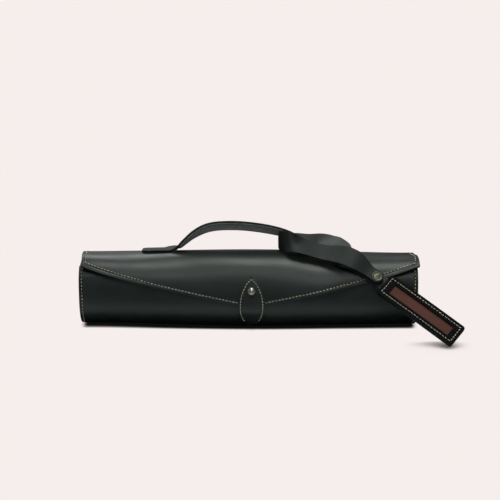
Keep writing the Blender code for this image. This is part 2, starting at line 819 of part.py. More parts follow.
def tail_path(end):
    """Centre line from the meeting point, straight through the snap to the end."""
    start = MEETING + MEETING_ALONG * GAP / 2
    straight = tag_point(TAG_EDGE - SNAP_FROM_EDGE - 7 * MM, 0)
    span = (straight - start).length
    points = []
    for k in range(10):
        f = k / 9
        point = start * (2 * f ** 3 - 3 * f ** 2 + 1)
        point += MEETING_ALONG * span * (f ** 3 - 2 * f ** 2 + f)
        point += straight * (3 * f ** 2 - 2 * f ** 3)
        point += TAG_LONG * span * (f ** 3 - f ** 2)
        points.append(point)
    return points + [straight.lerp(end, k / 4) for k in range(1, 5)]


def strap_tail(name, level_start, level_end, reach, end_width):
    """One ply of the strap from the meeting point to the snap."""
    line = tail_path(tag_point(TAG_EDGE - SNAP_FROM_EDGE + reach, 0))
    last = len(line) - 1
    outer, inner = [], []
    for k, point in enumerate(line):
        blend = smooth(k / 8)
        if k == 0:
            along = MEETING_ALONG
        elif k >= 9:
            along = TAG_LONG
        else:
            along = (line[min(k + 1, last)] - line[k - 1]).normalized()
        side = MEETING_SIDE.lerp(TAG_UP, blend).normalized()
        face = along.cross(side).normalized()
        side = face.cross(along).normalized()
        level = mix(level_start, level_end, blend)
        half = mix(STRAP_WIDTH, end_width, blend) / 2
        mids = [point + face * level + side * half * s for s in (-1, -0.5, 0, 0.5, 1)]
        outer.append([p + face * STRAP_THICK / 2 for p in mids])
        inner.append([p - face * STRAP_THICK / 2 for p in mids])
    bm = bmesh.new()
    add_slab(bm, outer, inner)
    return finish(name, bm, LEATHER_BLACK)


def make_snap(front, rear):
    seat = SNAP_CENTRE
    half = STRAP_THICK / 2
    top = SNAP_FRONT_LEVEL + half + GAP
    cap = [(0, top), (5.4 * MM, top), (5.4 * MM, top + 0.5 * MM), (5.0 * MM, top + 1.1 * MM)]
    cap += [(4.2 * MM, top + 1.25 * MM), (3.8 * MM, top + 0.9 * MM)]
    cap += [(3.2 * MM, top + 0.95 * MM), (1.6 * MM, top + 1.5 * MM), (0, top + 1.65 * MM)]
    stem = [(0, SNAP_FRONT_LEVEL - half - GAP), (1.2 * MM, SNAP_FRONT_LEVEL - half - GAP)]
    stem += [(1.2 * MM, top)]
    cap_obj = turned("snap_cap", stem + cap[1:], seat, TAG_FACE, METAL)
    low = SNAP_FRONT_LEVEL - half - 2 * GAP
    bottom = SNAP_REAR_LEVEL + half + 2 * GAP
    deep = bottom + 0.5 * MM
    socket = [(0, low), (4.3 * MM, low), (4.3 * MM, deep), (2.2 * MM, deep)]
    socket += [(2.2 * MM, low - 0.6 * MM), (0, low - 0.6 * MM)]
    socket_obj = turned("snap_socket", socket, seat, TAG_FACE, METAL)
    base = SNAP_REAR_LEVEL + half + GAP
    peak = low - 0.6 * MM - GAP
    stud = [(0, base), (4.2 * MM, base), (4.2 * MM, base + 0.4 * MM), (1.8 * MM, base + 0.4 * MM)]
    stud += [(1.8 * MM, peak), (0, peak)]
    stud_obj = turned("snap_stud", stud, seat, TAG_FACE, METAL)
    under = SNAP_REAR_LEVEL - half - GAP
    post = [(0, under - 0.9 * MM), (3.8 * MM, under - 0.7 * MM), (4.4 * MM, under)]
    post += [(1.2 * MM, under), (1.2 * MM, base - GAP), (0, base - GAP)]
    post_obj = turned("snap_post", post, seat, TAG_FACE, METAL)
    front_hole = round_cutter("cut_cap", seat, TAG_FACE, 1.6 * MM, 0, 9 * MM)
    rear_hole = round_cutter("cut_post", seat, TAG_FACE, 1.6 * MM, -6 * MM, 0)
    cut(front, front_hole)
    cut(rear, rear_hole)
    return cap_obj, socket_obj, stud_obj, post_obj


# ---------------------------------------------------------------- tag
def rounded_outline(length, width, corner):
    points = []
    for sx, sy, start in ((1, 1, 0), (-1, 1, 90), (-1, -1, 180), (1, -1, 270)):
        for k in range(4):
            angle = math.radians(start + 30 * k)
            x = sx * (length / 2 - corner) + corner * math.cos(angle)
            y = sy * (width / 2 - corner) + corner * math.sin(angle)
            points.append((x, y))
    return points


def tag_plate(name, length, width, corner, low, high, material):
    outline = rounded_outline(length, width, corner)
    bm = bmesh.new()
    lower = [bm.verts.new(tag_point(a, b, low)) for a, b in outline]
    upper = [bm.verts.new(tag_point(a, b, high)) for a, b in outline]
    count = len(outline)
    bm.faces.new(lower[::-1])
    bm.faces.new(upper)
    for k in range(count):
        m = (k + 1) % count
        bm.faces.new((lower[k], lower[m], upper[m], upper[k]))
    return finish(name, bm, material, flat=True)


def make_tag():
    insert = TAG_INSERT_THICK / 2
    back = tag_plate("tag_back", TAG_LENGTH, TAG_WIDTH, TAG_CORNER,
                     -insert - GAP - TAG_LEATHER, -insert - GAP, LEATHER_BLACK)
    frame = tag_plate("tag_frame", TAG_LENGTH, TAG_WIDTH, TAG_CORNER,
                      insert + GAP, insert + GAP + TAG_LEATHER, LEATHER_BLACK)
    window = tag_plate("cut_window", TAG_WINDOW_LENGTH, TAG_WINDOW_WIDTH, 0.6 * MM,
                       0, 5 * MM, LEATHER_BLACK)
    window.hide_render = True
    window.display_type = "WIRE"
    cut(frame, window)
    card = tag_plate("tag_insert", TAG_WINDOW_LENGTH + 8 * MM, TAG_WINDOW_WIDTH + 7 * MM,
                     0.8 * MM, -insert, insert, CARD_BROWN)
    level = insert + 2 * GAP + TAG_LEATHER + THREAD / 2
    outline = rounded_outline(TAG_LENGTH - 2 * TAG_SEAM_INSET, TAG_WIDTH - 2 * TAG_SEAM_INSET,
                              1.2 * MM)
    bm = bmesh.new()
    centres = [tag_point(a, b, level) for a, b in outline]
    add_line(bm, centres, [TAG_FACE] * len(centres), THREAD, closed=True)
    thread = finish("tag_thread", bm, THREAD_TAN)
    return back, frame, card, thread


# ---------------------------------------------------------------- bodies
def empty(name, location, parent=None):
    pivot = bpy.data.objects.new(name, None)
    bpy.context.scene.collection.objects.link(pivot)
    pivot.matrix_world = Matrix.Translation(location)
    if parent:
        attach(pivot, parent)
    return pivot


def attach(obj, parent):
    bpy.context.view_layer.update()
    world = obj.matrix_world.copy()
    obj.parent = parent
    obj.matrix_parent_inverse = parent.matrix_world.inverted()
    obj.matrix_world = world


body_panel()
for end_name, end_side in (("left", -1), ("right", 1)):
    end_panel(end_name + "_end_panel", end_side)
    end_thread(end_name + "_end_thread_front", end_side, False)
    end_thread(end_name + "_end_thread_back", end_side, True)

flap = flap_panel()
flap_parts = [flap, flap_thread("flap_thread_left", -1), flap_thread("flap_thread_right", 1)]
_base, _base_thread, tab_tongue, tab_thread = make_tab()
flap_parts += make_stud(flap, tab_tongue)
handle_grip, handle_threads, anchor_a, anchor_b = make_handle()
flap_parts += [anchor_a, anchor_b, anchor_thread("anchor_left_thread", -1)]
flap_parts += [anchor_thread("anchor_right_thread", 1), strap_loop()]
rear_ply = strap_tail("strap_rear_ply", REAR_LEVEL, SNAP_REAR_LEVEL, 8.2 * MM, 14 * MM)
front_ply = strap_tail("strap_front_ply", FRONT_LEVEL, SNAP_FRONT_LEVEL, 6.2 * MM, 12.4 * MM)
snap_cap, snap_socket, snap_stud, snap_post = make_snap(front_ply, rear_ply)
tag_parts = make_tag()

hinge_rows = [wall_point(x * MM, arc_at_height(x * MM, HINGE_HEIGHT, back=True))
              for x in range(-160, 161, 20)]
hinge_point = Vector((0, max(point.y for point in hinge_rows) + GAP, HINGE_HEIGHT))
flap_pivot = empty("flap_pivot", hinge_point)
tab_arc = arc_at_height(CENTRE_X, TAB_HINGE_HEIGHT)
tab_pivot = empty("tab_pivot", wall_point(CENTRE_X, tab_arc, GAP + TAB_LEATHER))
handle_pivot = empty("handle_pivot", Vector((0, 0, HANDLE_PIVOT_Z)), flap_pivot)
strap_pivot = empty("strap_pivot", STRAP_AXIS_POINT, flap_pivot)
snap_pivot = empty("snap_pivot", STRAP_AXIS_POINT, strap_pivot)
tag_pivot = empty("tag_pivot", tag_point(TAG_EDGE - 0.2 * MM, 0, TAG_HINGE_LEVEL), strap_pivot)

for part in flap_parts:
    attach(part, flap_pivot)
for part in (tab_tongue, tab_thread):
    attach(part, tab_pivot)
for part in [handle_grip] + handle_threads:
    attach(part, handle_pivot)
for part in (rear_ply, snap_stud, snap_post):
    attach(part, strap_pivot)
for part in (front_ply, snap_cap, snap_socket):
    attach(part, snap_pivot)
for part in tag_parts:
    attach(part, tag_pivot)
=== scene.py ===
"""Leather hat roll case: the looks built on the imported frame.  Metres, +Z up."""

import math
import random

import bmesh
import bpy
from mathutils import Matrix, Vector, noise


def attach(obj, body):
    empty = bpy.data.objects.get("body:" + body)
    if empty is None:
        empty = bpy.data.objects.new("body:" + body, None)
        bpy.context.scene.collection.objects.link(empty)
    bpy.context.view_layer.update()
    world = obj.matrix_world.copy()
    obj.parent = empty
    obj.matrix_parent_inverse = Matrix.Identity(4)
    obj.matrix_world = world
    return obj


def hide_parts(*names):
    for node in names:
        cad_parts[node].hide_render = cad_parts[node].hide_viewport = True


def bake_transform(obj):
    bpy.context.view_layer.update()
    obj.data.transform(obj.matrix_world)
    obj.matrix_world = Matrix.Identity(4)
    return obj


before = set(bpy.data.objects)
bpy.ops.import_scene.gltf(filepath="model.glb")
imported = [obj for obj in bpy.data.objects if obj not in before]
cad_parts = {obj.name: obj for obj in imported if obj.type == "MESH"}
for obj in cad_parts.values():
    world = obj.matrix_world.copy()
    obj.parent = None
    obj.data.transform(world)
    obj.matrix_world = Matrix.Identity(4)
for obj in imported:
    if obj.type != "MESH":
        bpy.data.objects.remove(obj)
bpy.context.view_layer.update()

MM = 0.001

# ------------------------------------------------------------ sizes
# Those that the CAD has too are the same there, but for the left end of the flap, the
# ramp and the hole of the tab, and the direction of the strap where its layers meet.
GAP = 0.35 * MM
LEATHER = 2.8 * MM
LEATHER_WAVE = 0.35 * MM
HALF_LENGTH = 166 * MM
DEPTH_MIDDLE = 37.6 * MM
DEPTH_END = 35.6 * MM
TOP_MIDDLE = 72.8 * MM
TOP_ENDS = (70.2 * MM, 68.8 * MM)
BOTTOM_MIDDLE = -1.2 * MM
BOTTOM_ENDS = (2.6 * MM, 1.2 * MM)
UPPER_ROUNDNESS = (2.35, 3.1)
LOWER_ROUNDNESS = (2.35, 2.5)
MOUTH_HEIGHT = 65.5 * MM
HINGE_HEIGHT = 62.0 * MM
FLAP_LEFT_TOP = -166.6 * MM
FLAP_LEFT_CORNER = -162.2 * MM
FLAP_RIGHT_TOP = 166.2 * MM
FLAP_RIGHT_CORNER = 167.2 * MM
FLAP_CREST = 0.4           # share of the flap, from the hinge, with straight sides
FLAP_CORNER_HEIGHT = 61.5 * MM
FLAP_APEX_HEIGHT = 27.5 * MM
FLAP_APEX_SOFTNESS = 9 * MM
FLAP_SEAM_INSET = 4.0 * MM
FLAP_SIDE_SEAM_END = 0.945  # share of the flap where the side seam meets the edge seam
FLAP_SEAM_TAB_GAP = 12.5 * MM
CENTRE_X = 3.0 * MM
END_RIM_DEPTH = 7.0 * MM
END_LEATHER = 2.0 * MM
END_SEAM_INSET = 3.0 * MM
END_SEAM_TOP_FRONT = 64.0 * MM
END_SEAM_TOP_BACK = 61.0 * MM
END_SEAM_FOOT = 2.7 * MM
END_WAVE = 0.6 * MM
TAB_LEATHER = 2.5 * MM
TAB_HALF_WIDTH = 13.8 * MM
TAB_MIDDLE_HEIGHT = 29.6 * MM
TAB_HALF_LENGTH = 26.2 * MM
TAB_HINGE_HEIGHT = 20.0 * MM
TAB_RAMP = 7.0 * MM
TAB_SEAM_INSET = 2.9 * MM
TAB_SEAM_END = -19.0 * MM   # the stitching stops where the case curves under
TAB_HOLE_RADIUS = 2.45 * MM
TAB_SLIT_DROP = 4.2 * MM    # from the stud to the middle of the slit
TAB_SLIT_SIZE = (0.45 * MM, 7 * MM, 20 * MM)
STUD_HEIGHT = 44.0 * MM
STUD_BALL_RADIUS = 4.0 * MM
STUD_BALL_HEIGHT = 7.1 * MM     # centre of the ball above the flap
STUD_NECK_RADIUS = 2.2 * MM
HANDLE_WIDTH = 19.5 * MM
HANDLE_THICK = 3.0 * MM
HANDLE_PIVOT_Z = 76.0 * MM
HANDLE_LEAN = math.radians(34)
ANCHOR_START = 79 * MM      # each end of the handle lies flat from here to its tip
ANCHOR_END = 106 * MM
ANCHOR_SEAMS = (81.5 * MM, 102.5 * MM)
HANDLE_SEAM_INSET = 2.6 * MM
UNDERSIDE_SEAM_END = 70 * MM
STRAP_WIDTH = 20.8 * MM
STRAP_THICK = 2.0 * MM
STRAP_TIP = 5.5 * MM        # length of the rounded end of the front layer
TAG_LENGTH = 87.4 * MM
TAG_WIDTH = 24.6 * MM
TAG_LEATHER = 1.5 * MM
TAG_INSERT_THICK = 0.8 * MM
TAG_WINDOW_LENGTH = 69 * MM
TAG_WINDOW_WIDTH = 11 * MM
TAG_CORNER = 2.6 * MM
TAG_WINDOW_CORNER = 0.5 * MM
TAG_SEAM_INSET = 3.4 * MM
TAG_CENTRE = Vector((164.8, -64.0, 30.8)) * MM
TAG_LONG = Vector((0.772, -0.401, -0.493)).normalized()
TAG_UP = Vector((0.634, 0.536, 0.558)).normalized()
TAG_FACE = TAG_LONG.cross(TAG_UP).normalized()
SNAP_FROM_EDGE = 9.0 * MM
SNAP_RUN_IN = 7.0 * MM      # the strap is straight from here to the snap
NECK_END = 3.5 * MM         # how far the tag's neck reaches between its layers
TAG_EDGE = -TAG_LENGTH / 2
SNAP_REAR_LEVEL = -1.6 * MM
SNAP_FRONT_LEVEL = 3.5 * MM
MEETING = Vector((100, -35.6, 74.5)) * MM       # where the two layers of the strap meet
MEETING_SIDE = Vector((0.45, 0.60, 0.66)).normalized()
MEETING_ALONG = Vector((0.86, -0.42, -0.26)).normalized()
MEETING_FACE = MEETING_ALONG.cross(MEETING_SIDE).normalized()
MEETING_SIDE = MEETING_FACE.cross(MEETING_ALONG).normalized()
FRONT_LEVEL = 1.5 * MM
REAR_LEVEL = -1.2 * MM

STITCH_PITCH = 3.4 * MM
STITCH_LENGTH = 2.1 * MM
STITCH_RADIUS = 0.42 * MM
STITCH_SINK = 0.05 * MM     # how far the ends of the stitches go into the leather
NO_SEAM = 10.0              # value of the seam attribute far from any stitching


# ------------------------------------------------------------ small maths
def mix(a, b, amount):
    return a + (b - a) * amount


def smooth(value):
    value = max(0.0, min(1.0, value))
    return value * value * (3 - 2 * value)


def bump(value, centre, width):
    return math.exp(-((value - centre) / width) ** 2)


def crowded(low, high, count, pull=0.0):
    """Even steps, or steps gathered towards both ends when pull is above 0."""
    values = []
    for k in range(count + 1):
        f = k / count
        eased = f - pull * math.sin(2 * math.pi * f) / (2 * math.pi)
        values.append(mix(low, high, eased))
    return values


def spline(stations, count):
    """Smooth curve through tuples of numbers, evenly stepped between stations."""
    result = []
    last = len(stations) - 1
    for step in range(count):
        place = step * last / (count - 1)
        index = min(int(place), last - 1)
        f = place - index
        p0 = stations[max(index - 1, 0)]
        p1 = stations[index]
        p2 = stations[index + 1]
        p3 = stations[min(index + 2, last)]
        point = []
        for a, b, c, d in zip(p0, p1, p2, p3):
            value = 2 * b + (c - a) * f
            value += (2 * a - 5 * b + 4 * c - d) * f ** 2
            value += (3 * b - a - 3 * c + d) * f ** 3
            point.append(0.5 * value)
        result.append(tuple(point))
    return result


# ------------------------------------------------------------ case outline
OUTLINE_STEPS = 720
NORMAL_REACH = 5            # steps each way that the outline's direction is read over
section_cache = {}


def section_table(x):
    """Closed outline at x, from bottom centre by the front to the top and back,
    as (arc, y, z, normal_y, normal_z)."""
    key = round(x, 6)
    if key in section_cache:
        return section_cache[key]
    end = smooth(abs(x) / HALF_LENGTH)
    depth = mix(DEPTH_MIDDLE, DEPTH_END, end)
    top = mix(TOP_MIDDLE, TOP_ENDS[x > 0], end)
    bottom = mix(BOTTOM_MIDDLE, BOTTOM_ENDS[x > 0], end)
    upper = mix(*UPPER_ROUNDNESS, end)
    lower = mix(*LOWER_ROUNDNESS, end)
    middle = (top + bottom) / 2
    half = (top - bottom) / 2
    points = []
    for i in range(OUTLINE_STEPS):
        angle = -math.pi / 2 - 2 * math.pi * i / OUTLINE_STEPS
        cos, sin = math.cos(angle), math.sin(angle)
        power = 2 / (upper if sin > 0 else lower)
        y = depth * math.copysign(abs(cos) ** power, cos)
        z = middle + half * math.copysign(abs(sin) ** power, sin)
        points.append((y, max(z, 0.0)))
    table = []
    arc = 0.0
    for i, (y, z) in enumerate(points):
        before = points[i - NORMAL_REACH]
        after = points[(i + NORMAL_REACH) % OUTLINE_STEPS]
        ty, tz = after[0] - before[0], after[1] - before[1]
        size = math.hypot(ty, tz)
        table.append((arc, y, z, -tz / size, ty / size))
        following = points[(i + 1) % OUTLINE_STEPS]
        arc += math.hypot(following[0] - y, following[1] - z)
    section_cache[key] = (table, arc)
    return section_cache[key]


def wall_point(x, arc, offset=0.0):
    """Point on the outline at a given arc length, moved outward by offset."""
    table, total = section_table(x)
    arc %= total
    low, high = 0, len(table) - 1
    while high - low > 1:
        half = (low + high) // 2
        if table[half][0] <= arc:
            low = half
        else:
            high = half
    if table[high][0] <= arc:
        low, high = high, 0
    a = table[low]
    b = table[high]
    span = (b[0] if high else total) - a[0]
    f = (arc - a[0]) / span if span > 0 else 0.0
    y, z, ny, nz = (mix(a[k], b[k], f) for k in (1, 2, 3, 4))
    size = math.hypot(ny, nz)
    return Vector((x, y + offset * ny / size, z + offset * nz / size))


height_cache = {}


def arc_at_height(x, height, back=False):
    """Arc length where the front (or back) of the outline passes a height."""
    key = (round(x, 6), round(height, 7), back)
    if key in height_cache:
        return height_cache[key]
    table, _total = section_table(x)
    found = 0.0
    for first, second in zip(table, table[1:]):
        if (first[1] > 0) != back or abs(first[1]) < 5 * MM:
            continue
        if (first[2] - height) * (second[2] - height) <= 0 and first[2] != second[2]:
            f = (height - first[2]) / (second[2] - first[2])
            found = mix(first[0], second[0], f)
            break
    height_cache[key] = found
    return found


def arc_top(x):
    return section_table(x)[1] / 2


def unevenness(x, arc):
    """Slow waviness of real leather, the same for pieces that lie together."""
    place = Vector((x * 14, arc * 22, 3.7))
    return LEATHER_WAVE * noise.noise(place)


# ------------------------------------------------------------ materials
def grey(value):
    return (value, value, value)


class Look:
    """A material, with short calls that add to its node tree.  They take and give
    node outputs, and `where` is the place on the piece."""

    def __init__(self, name):
        self.material = bpy.data.materials.new(name)
        self.material.use_nodes = True
        self.nodes = self.material.node_tree.nodes
        self.links = self.material.node_tree.links
        self.shader = self.nodes["Principled BSDF"]
        self.where = self.node("ShaderNodeTexCoord").outputs["Object"]

    def fill(self, socket, value):
        """Set an input to a number, or link a node's output to it."""
        if isinstance(value, bpy.types.NodeSocket):
            self.links.new(value, socket)
        else:
            socket.default_value = value

    def node(self, kind, **settings):
        """New node: in_NAME fills an input, other names set the node itself."""
        node = self.nodes.new(kind)
        inputs = {key: settings.pop(key) for key in list(settings) if key.startswith("in_")}
        for key, value in settings.items():
            setattr(node, key, value)
        for key, value in inputs.items():
            self.fill(node.inputs[key[3:].replace("_", " ")], value)
        return node

    def noise(self, scale, detail, where=None, **settings):
        place = self.where if where is None else where
        node = self.node("ShaderNodeTexNoise", in_Vector=place, in_Scale=scale,
                         in_Detail=detail, **settings)
        return node.outputs["Fac"]

    def cells(self, scale, feature):
        node = self.node("ShaderNodeTexVoronoi", feature=feature, in_Vector=self.where,
                         in_Scale=scale)
        return node.outputs["Distance"]

    def ramp(self, source, low, high, dark, light, ease=False, more=()):
        """Colour that runs from dark at low to light at high, with more stops."""
        node = self.node("ShaderNodeValToRGB", in_Fac=source)
        stops = node.color_ramp.elements
        stops[0].position = low
        stops[1].position = high
        stops[0].color = (*dark, 1)
        stops[1].color = (*light, 1)
        for place, tone in more:
            stops.new(place).color = (*tone, 1)
        if ease:
            node.color_ramp.interpolation = "EASE"
        return node.outputs["Color"]

    def maths(self, operation, *values):
        node = self.node("ShaderNodeMath", operation=operation)
        for socket, value in zip(node.inputs, values):
            self.fill(socket, value)
        return node.outputs[0]

    def multiply(self, first, second):
        """Product of two colours."""
        node = self.node("ShaderNodeMix", data_type="RGBA", blend_type="MULTIPLY",
                         in_Factor=1.0, in_A=first, in_B=second)
        return node.outputs["Result"]

    def bump(self, height, strength, distance, under=None):
        """Surface relief, laid over the relief given as under."""
        node = self.node("ShaderNodeBump", in_Height=height, in_Strength=strength,
                         in_Distance=distance)
        if under is not None:
            self.fill(node.inputs["Normal"], under)
        return node.outputs["Normal"]

    def finish(self, **inputs):
        """Fill the shader's own inputs and give the material."""
        for key, value in inputs.items():
            self.fill(self.shader.inputs[key.replace("_", " ")], value)
        return self.material


def leather_material(name, dark, light, rough, grain=1.0, seam=True, gloss=0.5):
    """Dyed leather: pebble grain, pores, tone drift, pressed stitching line with painted shade in
    its groove.
    """
    look = Look(name)
    drift = look.noise(38.0, 5.0, in_Roughness=0.6)
    pores = look.noise(900.0, 4.0, in_Roughness=0.65)
    pebbles = look.cells(1150.0, "F1")
    creases = look.cells(620.0, "DISTANCE_TO_EDGE")
    tone = look.ramp(drift, 0.25, 0.8, dark, light)
    speck = look.ramp(pores, 0.3, 0.75, grey(0.78), grey(1.12))
    colour = look.multiply(tone, speck)
    roughness = look.ramp(drift, 0.2, 0.85, grey(rough - 0.07), grey(rough + 0.08))
    plateaus = look.maths("MINIMUM", look.maths("MULTIPLY", creases, 3.0), 0.5)
    height = look.maths("ADD", look.maths("ADD", plateaus, pebbles), pores)
    normal = look.bump(height, strength=0.16 * grain, distance=0.12 * MM)
    if seam:
        line = look.node("ShaderNodeAttribute", attribute_name="seam").outputs["Fac"]
        away = look.maths("ABSOLUTE", look.maths("SUBTRACT", line, 1.0))
        groove = look.ramp(away, 0.0, 0.34, grey(0.0), grey(1.0), ease=True)
        normal = look.bump(groove, strength=0.8, distance=0.5 * MM, under=normal)
        # painted shade: the colour darkens along the pressed stitching groove
        painted_shade = look.ramp(away, 0.0, 0.3, grey(0.45), grey(1.0))
        colour = look.multiply(colour, painted_shade)
    return look.finish(Base_Color=colour, Roughness=roughness, Normal=normal,
                       Specular_IOR_Level=gloss)


def flesh_material(name, dark, light):
    """Loose fibres of the unfinished side of leather."""
    look = Look(name)
    nap = look.noise(1500.0, 6.0, in_Roughness=0.75)
    tufts = look.noise(260.0, 4.0, in_Distortion=0.8)
    tone = look.ramp(tufts, 0.3, 0.72, dark, light)
    fibres = look.bump(look.maths("ADD", nap, tufts), strength=0.5, distance=0.3 * MM)
    return look.finish(Base_Color=tone, Normal=fibres, Roughness=0.95, Sheen_Weight=0.35,
                       Sheen_Roughness=0.6)


def edge_material(name, dark, light):
    """Cut and painted edge: half matt, with fine blotches in tone and relief."""
    look = Look(name)
    blotches = look.noise(700.0, 4.0)
    tone = look.ramp(blotches, 0.3, 0.75, dark, light)
    roughness = look.ramp(blotches, 0.2, 0.8, grey(0.42), grey(0.62))
    relief = look.bump(blotches, strength=0.3, distance=0.2 * MM)
    return look.finish(Base_Color=tone, Roughness=roughness, Normal=relief,
                       Specular_IOR_Level=0.10)


def thread_material(name, dark, light):
    """Waxed twisted thread: slanting plies across a small UV strip, with painted shade between
    them.
    """
    look = Look(name)
    strip = look.node("ShaderNodeUVMap", uv_map="twist").outputs["UV"]
    wave = look.node("ShaderNodeTexWave", bands_direction="DIAGONAL", in_Vector=strip,
                     in_Scale=2.2, in_Distortion=0.4)
    plies = wave.outputs["Fac"]
    tone = look.ramp(look.noise(240.0, 3.0), 0.3, 0.7, dark, light)
    # painted shade: the colour darkens in the troughs between the plies
    twist = look.ramp(plies, 0.0, 0.7, grey(0.72), grey(1.05))
    relief = look.bump(plies, strength=0.6, distance=0.1 * MM)
    return look.finish(Base_Color=look.multiply(tone, twist), Normal=relief, Roughness=0.7,
                       Sheen_Weight=0.2)


def metal_material(name, dark, light, rough):
    """Aged nickel: tone drift, dull spots and fine handling scratches."""
    look = Look(name)
    spots = look.noise(420.0, 6.0, in_Roughness=0.7)
    stretched = look.node("ShaderNodeMapping", in_Vector=look.where,
                          in_Scale=(1.0, 0.2, 4.0), in_Rotation=(0.4, 0.9, 0.2))
    scratches = look.noise(900.0, 2.0, where=stretched.outputs["Vector"])
    tone = look.ramp(spots, 0.35, 0.7, dark, light)
    roughness = look.ramp(spots, 0.3, 0.75, grey(rough + 0.14), grey(rough - 0.06))
    relief = look.bump(scratches, strength=0.12, distance=0.1 * MM)
    return look.finish(Base_Color=tone, Roughness=roughness, Normal=relief, Metallic=1.0)


FLOOR_TONE = (0.922, 0.855, 0.839)
# Painted contact shadow: the floor tone the camera sees darkens to this near what stands on it.
PAINTED_CONTACT_SHADOW_TONE = grey(0.004)
CONTACT_SHADOW_REACH = 6.5 * MM
TAG_SHADE_REACH = 36 * MM       # added to the contact reach under the tag
TAG_SHADE_X = (0.125, 0.160)
TAG_SHADE_Y = (-0.048, -0.080)
# Painted light and shade on the floor for every ray but the camera's, which the leather reflects.
PAINTED_LIGHT_STRIP_TONE = (0.90, 0.95, 0.98)
PAINTED_FAR_SHADE_TONE = (0.030, 0.035, 0.035)
PAINTED_UNDER_SHADOW_TONE = (0.010, 0.011, 0.011)
STRIP_FADE = -5.0               # change per metre of the place on the ramp below


def floor_material():
    """Pale floor with a tone of its own for the camera, with a painted contact shadow close to what
    stands on it and a wider painted shadow near the tag, both drawn by ambient occlusion.  Every
    other ray meets a matt floor with painted light and shade: bright in a strip 51 to 64 mm in
    front of and behind the middle of the case, and dark under it and far off, so the sheen on the
    leather is a reflection of this painted light and shade."""
    look = Look("studio_floor")
    axes = look.node("ShaderNodeSeparateXYZ", in_Vector=look.where).outputs
    spans = []
    for axis, (first, last) in (("X", TAG_SHADE_X), ("Y", TAG_SHADE_Y)):
        span = look.node("ShaderNodeMapRange", interpolation_type="SMOOTHSTEP",
                         in_Value=axes[axis], in_From_Min=first, in_From_Max=last)
        spans.append(span.outputs["Result"])
    near_tag = look.maths("MULTIPLY", *spans)
    reach = look.maths("MULTIPLY_ADD", near_tag, TAG_SHADE_REACH, CONTACT_SHADOW_REACH)
    open_sky = look.node("ShaderNodeAmbientOcclusion", samples=16, in_Distance=reach)
    # painted shadow: the camera's floor tone darkens where ambient occlusion is low
    painted_shade = look.ramp(open_sky.outputs["AO"], 0.34, 0.94, PAINTED_CONTACT_SHADOW_TONE, FLOOR_TONE, ease=True)
    glow = look.node("ShaderNodeEmission", in_Color=painted_shade)
    share = look.maths("MULTIPLY_ADD", look.maths("ABSOLUTE", axes["Y"]), STRIP_FADE, 1.0)
    # painted light and shade for other rays: a bright strip in front of and behind the case, dark
    # under it and far off
    painted_light_and_shade = look.ramp(share, 0.32, 0.68, PAINTED_FAR_SHADE_TONE, PAINTED_LIGHT_STRIP_TONE,
                       more=((0.745, PAINTED_LIGHT_STRIP_TONE), (0.81, PAINTED_UNDER_SHADOW_TONE)))
    look.finish(Base_Color=painted_light_and_shade, Roughness=1.0, Specular_IOR_Level=0.0)
    both = look.node("ShaderNodeMixShader")
    seen = look.node("ShaderNodeLightPath").outputs["Is Camera Ray"]
    parts = (seen, look.shader.outputs["BSDF"], glow.outputs["Emission"])
    for socket, value in zip(both.inputs, parts):
        look.fill(socket, value)
    look.fill(look.nodes["Material Output"].inputs["Surface"], both.outputs["Shader"])
    return look.material


BLACK = leather_material("black_leather", (0.0070, 0.0100, 0.0092), (0.0130, 0.0172, 0.0160),
                         0.44)
STRAP_BLACK = leather_material("strap_leather", (0.0090, 0.0120, 0.0112),
                               (0.0185, 0.0230, 0.0215), 0.56, grain=1.3, gloss=0.28)
TAG_BLACK = leather_material("tag_leather", (0.0035, 0.0036, 0.0046),
                             (0.0065, 0.0066, 0.0082), 0.66, grain=1.5, gloss=0.06)
FLESH = flesh_material("flesh_side", (0.070, 0.073, 0.070), (0.165, 0.170, 0.162))
# Flesh side of the handle: grey fibres, made much lighter than the other flesh side as painted
# light for the light its underside catches.
HANDLE_FLESH_PAINTED_LIGHT = flesh_material("handle_flesh_painted_light", (0.34, 0.35, 0.34), (0.62, 0.64, 0.62))
EDGE = edge_material("painted_edge", (0.004, 0.005, 0.005), (0.010, 0.012, 0.012))
TAN = thread_material("tan_thread", (0.48, 0.39, 0.27), (0.72, 0.60, 0.44))
DARK_THREAD = thread_material("black_thread", grey(0.008), grey(0.022))
NICKEL = metal_material("aged_nickel", (0.34, 0.33, 0.29), (0.66, 0.64, 0.59), 0.26)
OLD_NICKEL = metal_material("worn_nickel", (0.055, 0.054, 0.042), (0.145, 0.140, 0.112), 0.36)
BROWN = leather_material("brown_insert", (0.105, 0.036, 0.027), (0.155, 0.060, 0.046), 0.66,
                         grain=2.2, seam=False, gloss=0.14)


# ------------------------------------------------------------ mesh helpers
def add_to_scene(name, data):
    obj = bpy.data.objects.new(name, data)
    bpy.context.scene.collection.objects.link(obj)
    return obj


def make_object(name, points, faces, materials, indices=None):
    mesh = bpy.data.meshes.new(name)
    mesh.from_pydata([tuple(p) for p in points], [], faces)
    for material in materials:
        mesh.materials.append(material)
    for k, face in enumerate(mesh.polygons):
        face.use_smooth = True
        if indices:
            face.material_index = indices[k]
    mesh.update()
    return add_to_scene(name, mesh)


def apply_modifiers(obj):
    bpy.context.view_layer.update()
    graph = bpy.context.evaluated_depsgraph_get()
    mesh = bpy.data.meshes.new_from_object(obj.evaluated_get(graph))
    obj.modifiers.clear()
    obj.data = mesh
    return obj


def soften_edges(obj, width, segments=3, angle=40):
    modifier = obj.modifiers.new("soft_edges", "BEVEL")
    modifier.width = width
    modifier.segments = segments
    modifier.limit_method = "ANGLE"
    modifier.angle_limit = math.radians(angle)
    modifier.harden_normals = False
    return apply_modifiers(obj)


def mark_seam(obj, values):
    """Store how near each vertex is to the stitching: 1 lies on it."""
    layer = obj.data.attributes.new("seam", "FLOAT", "POINT")
    layer.data.foreach_set("value", values)


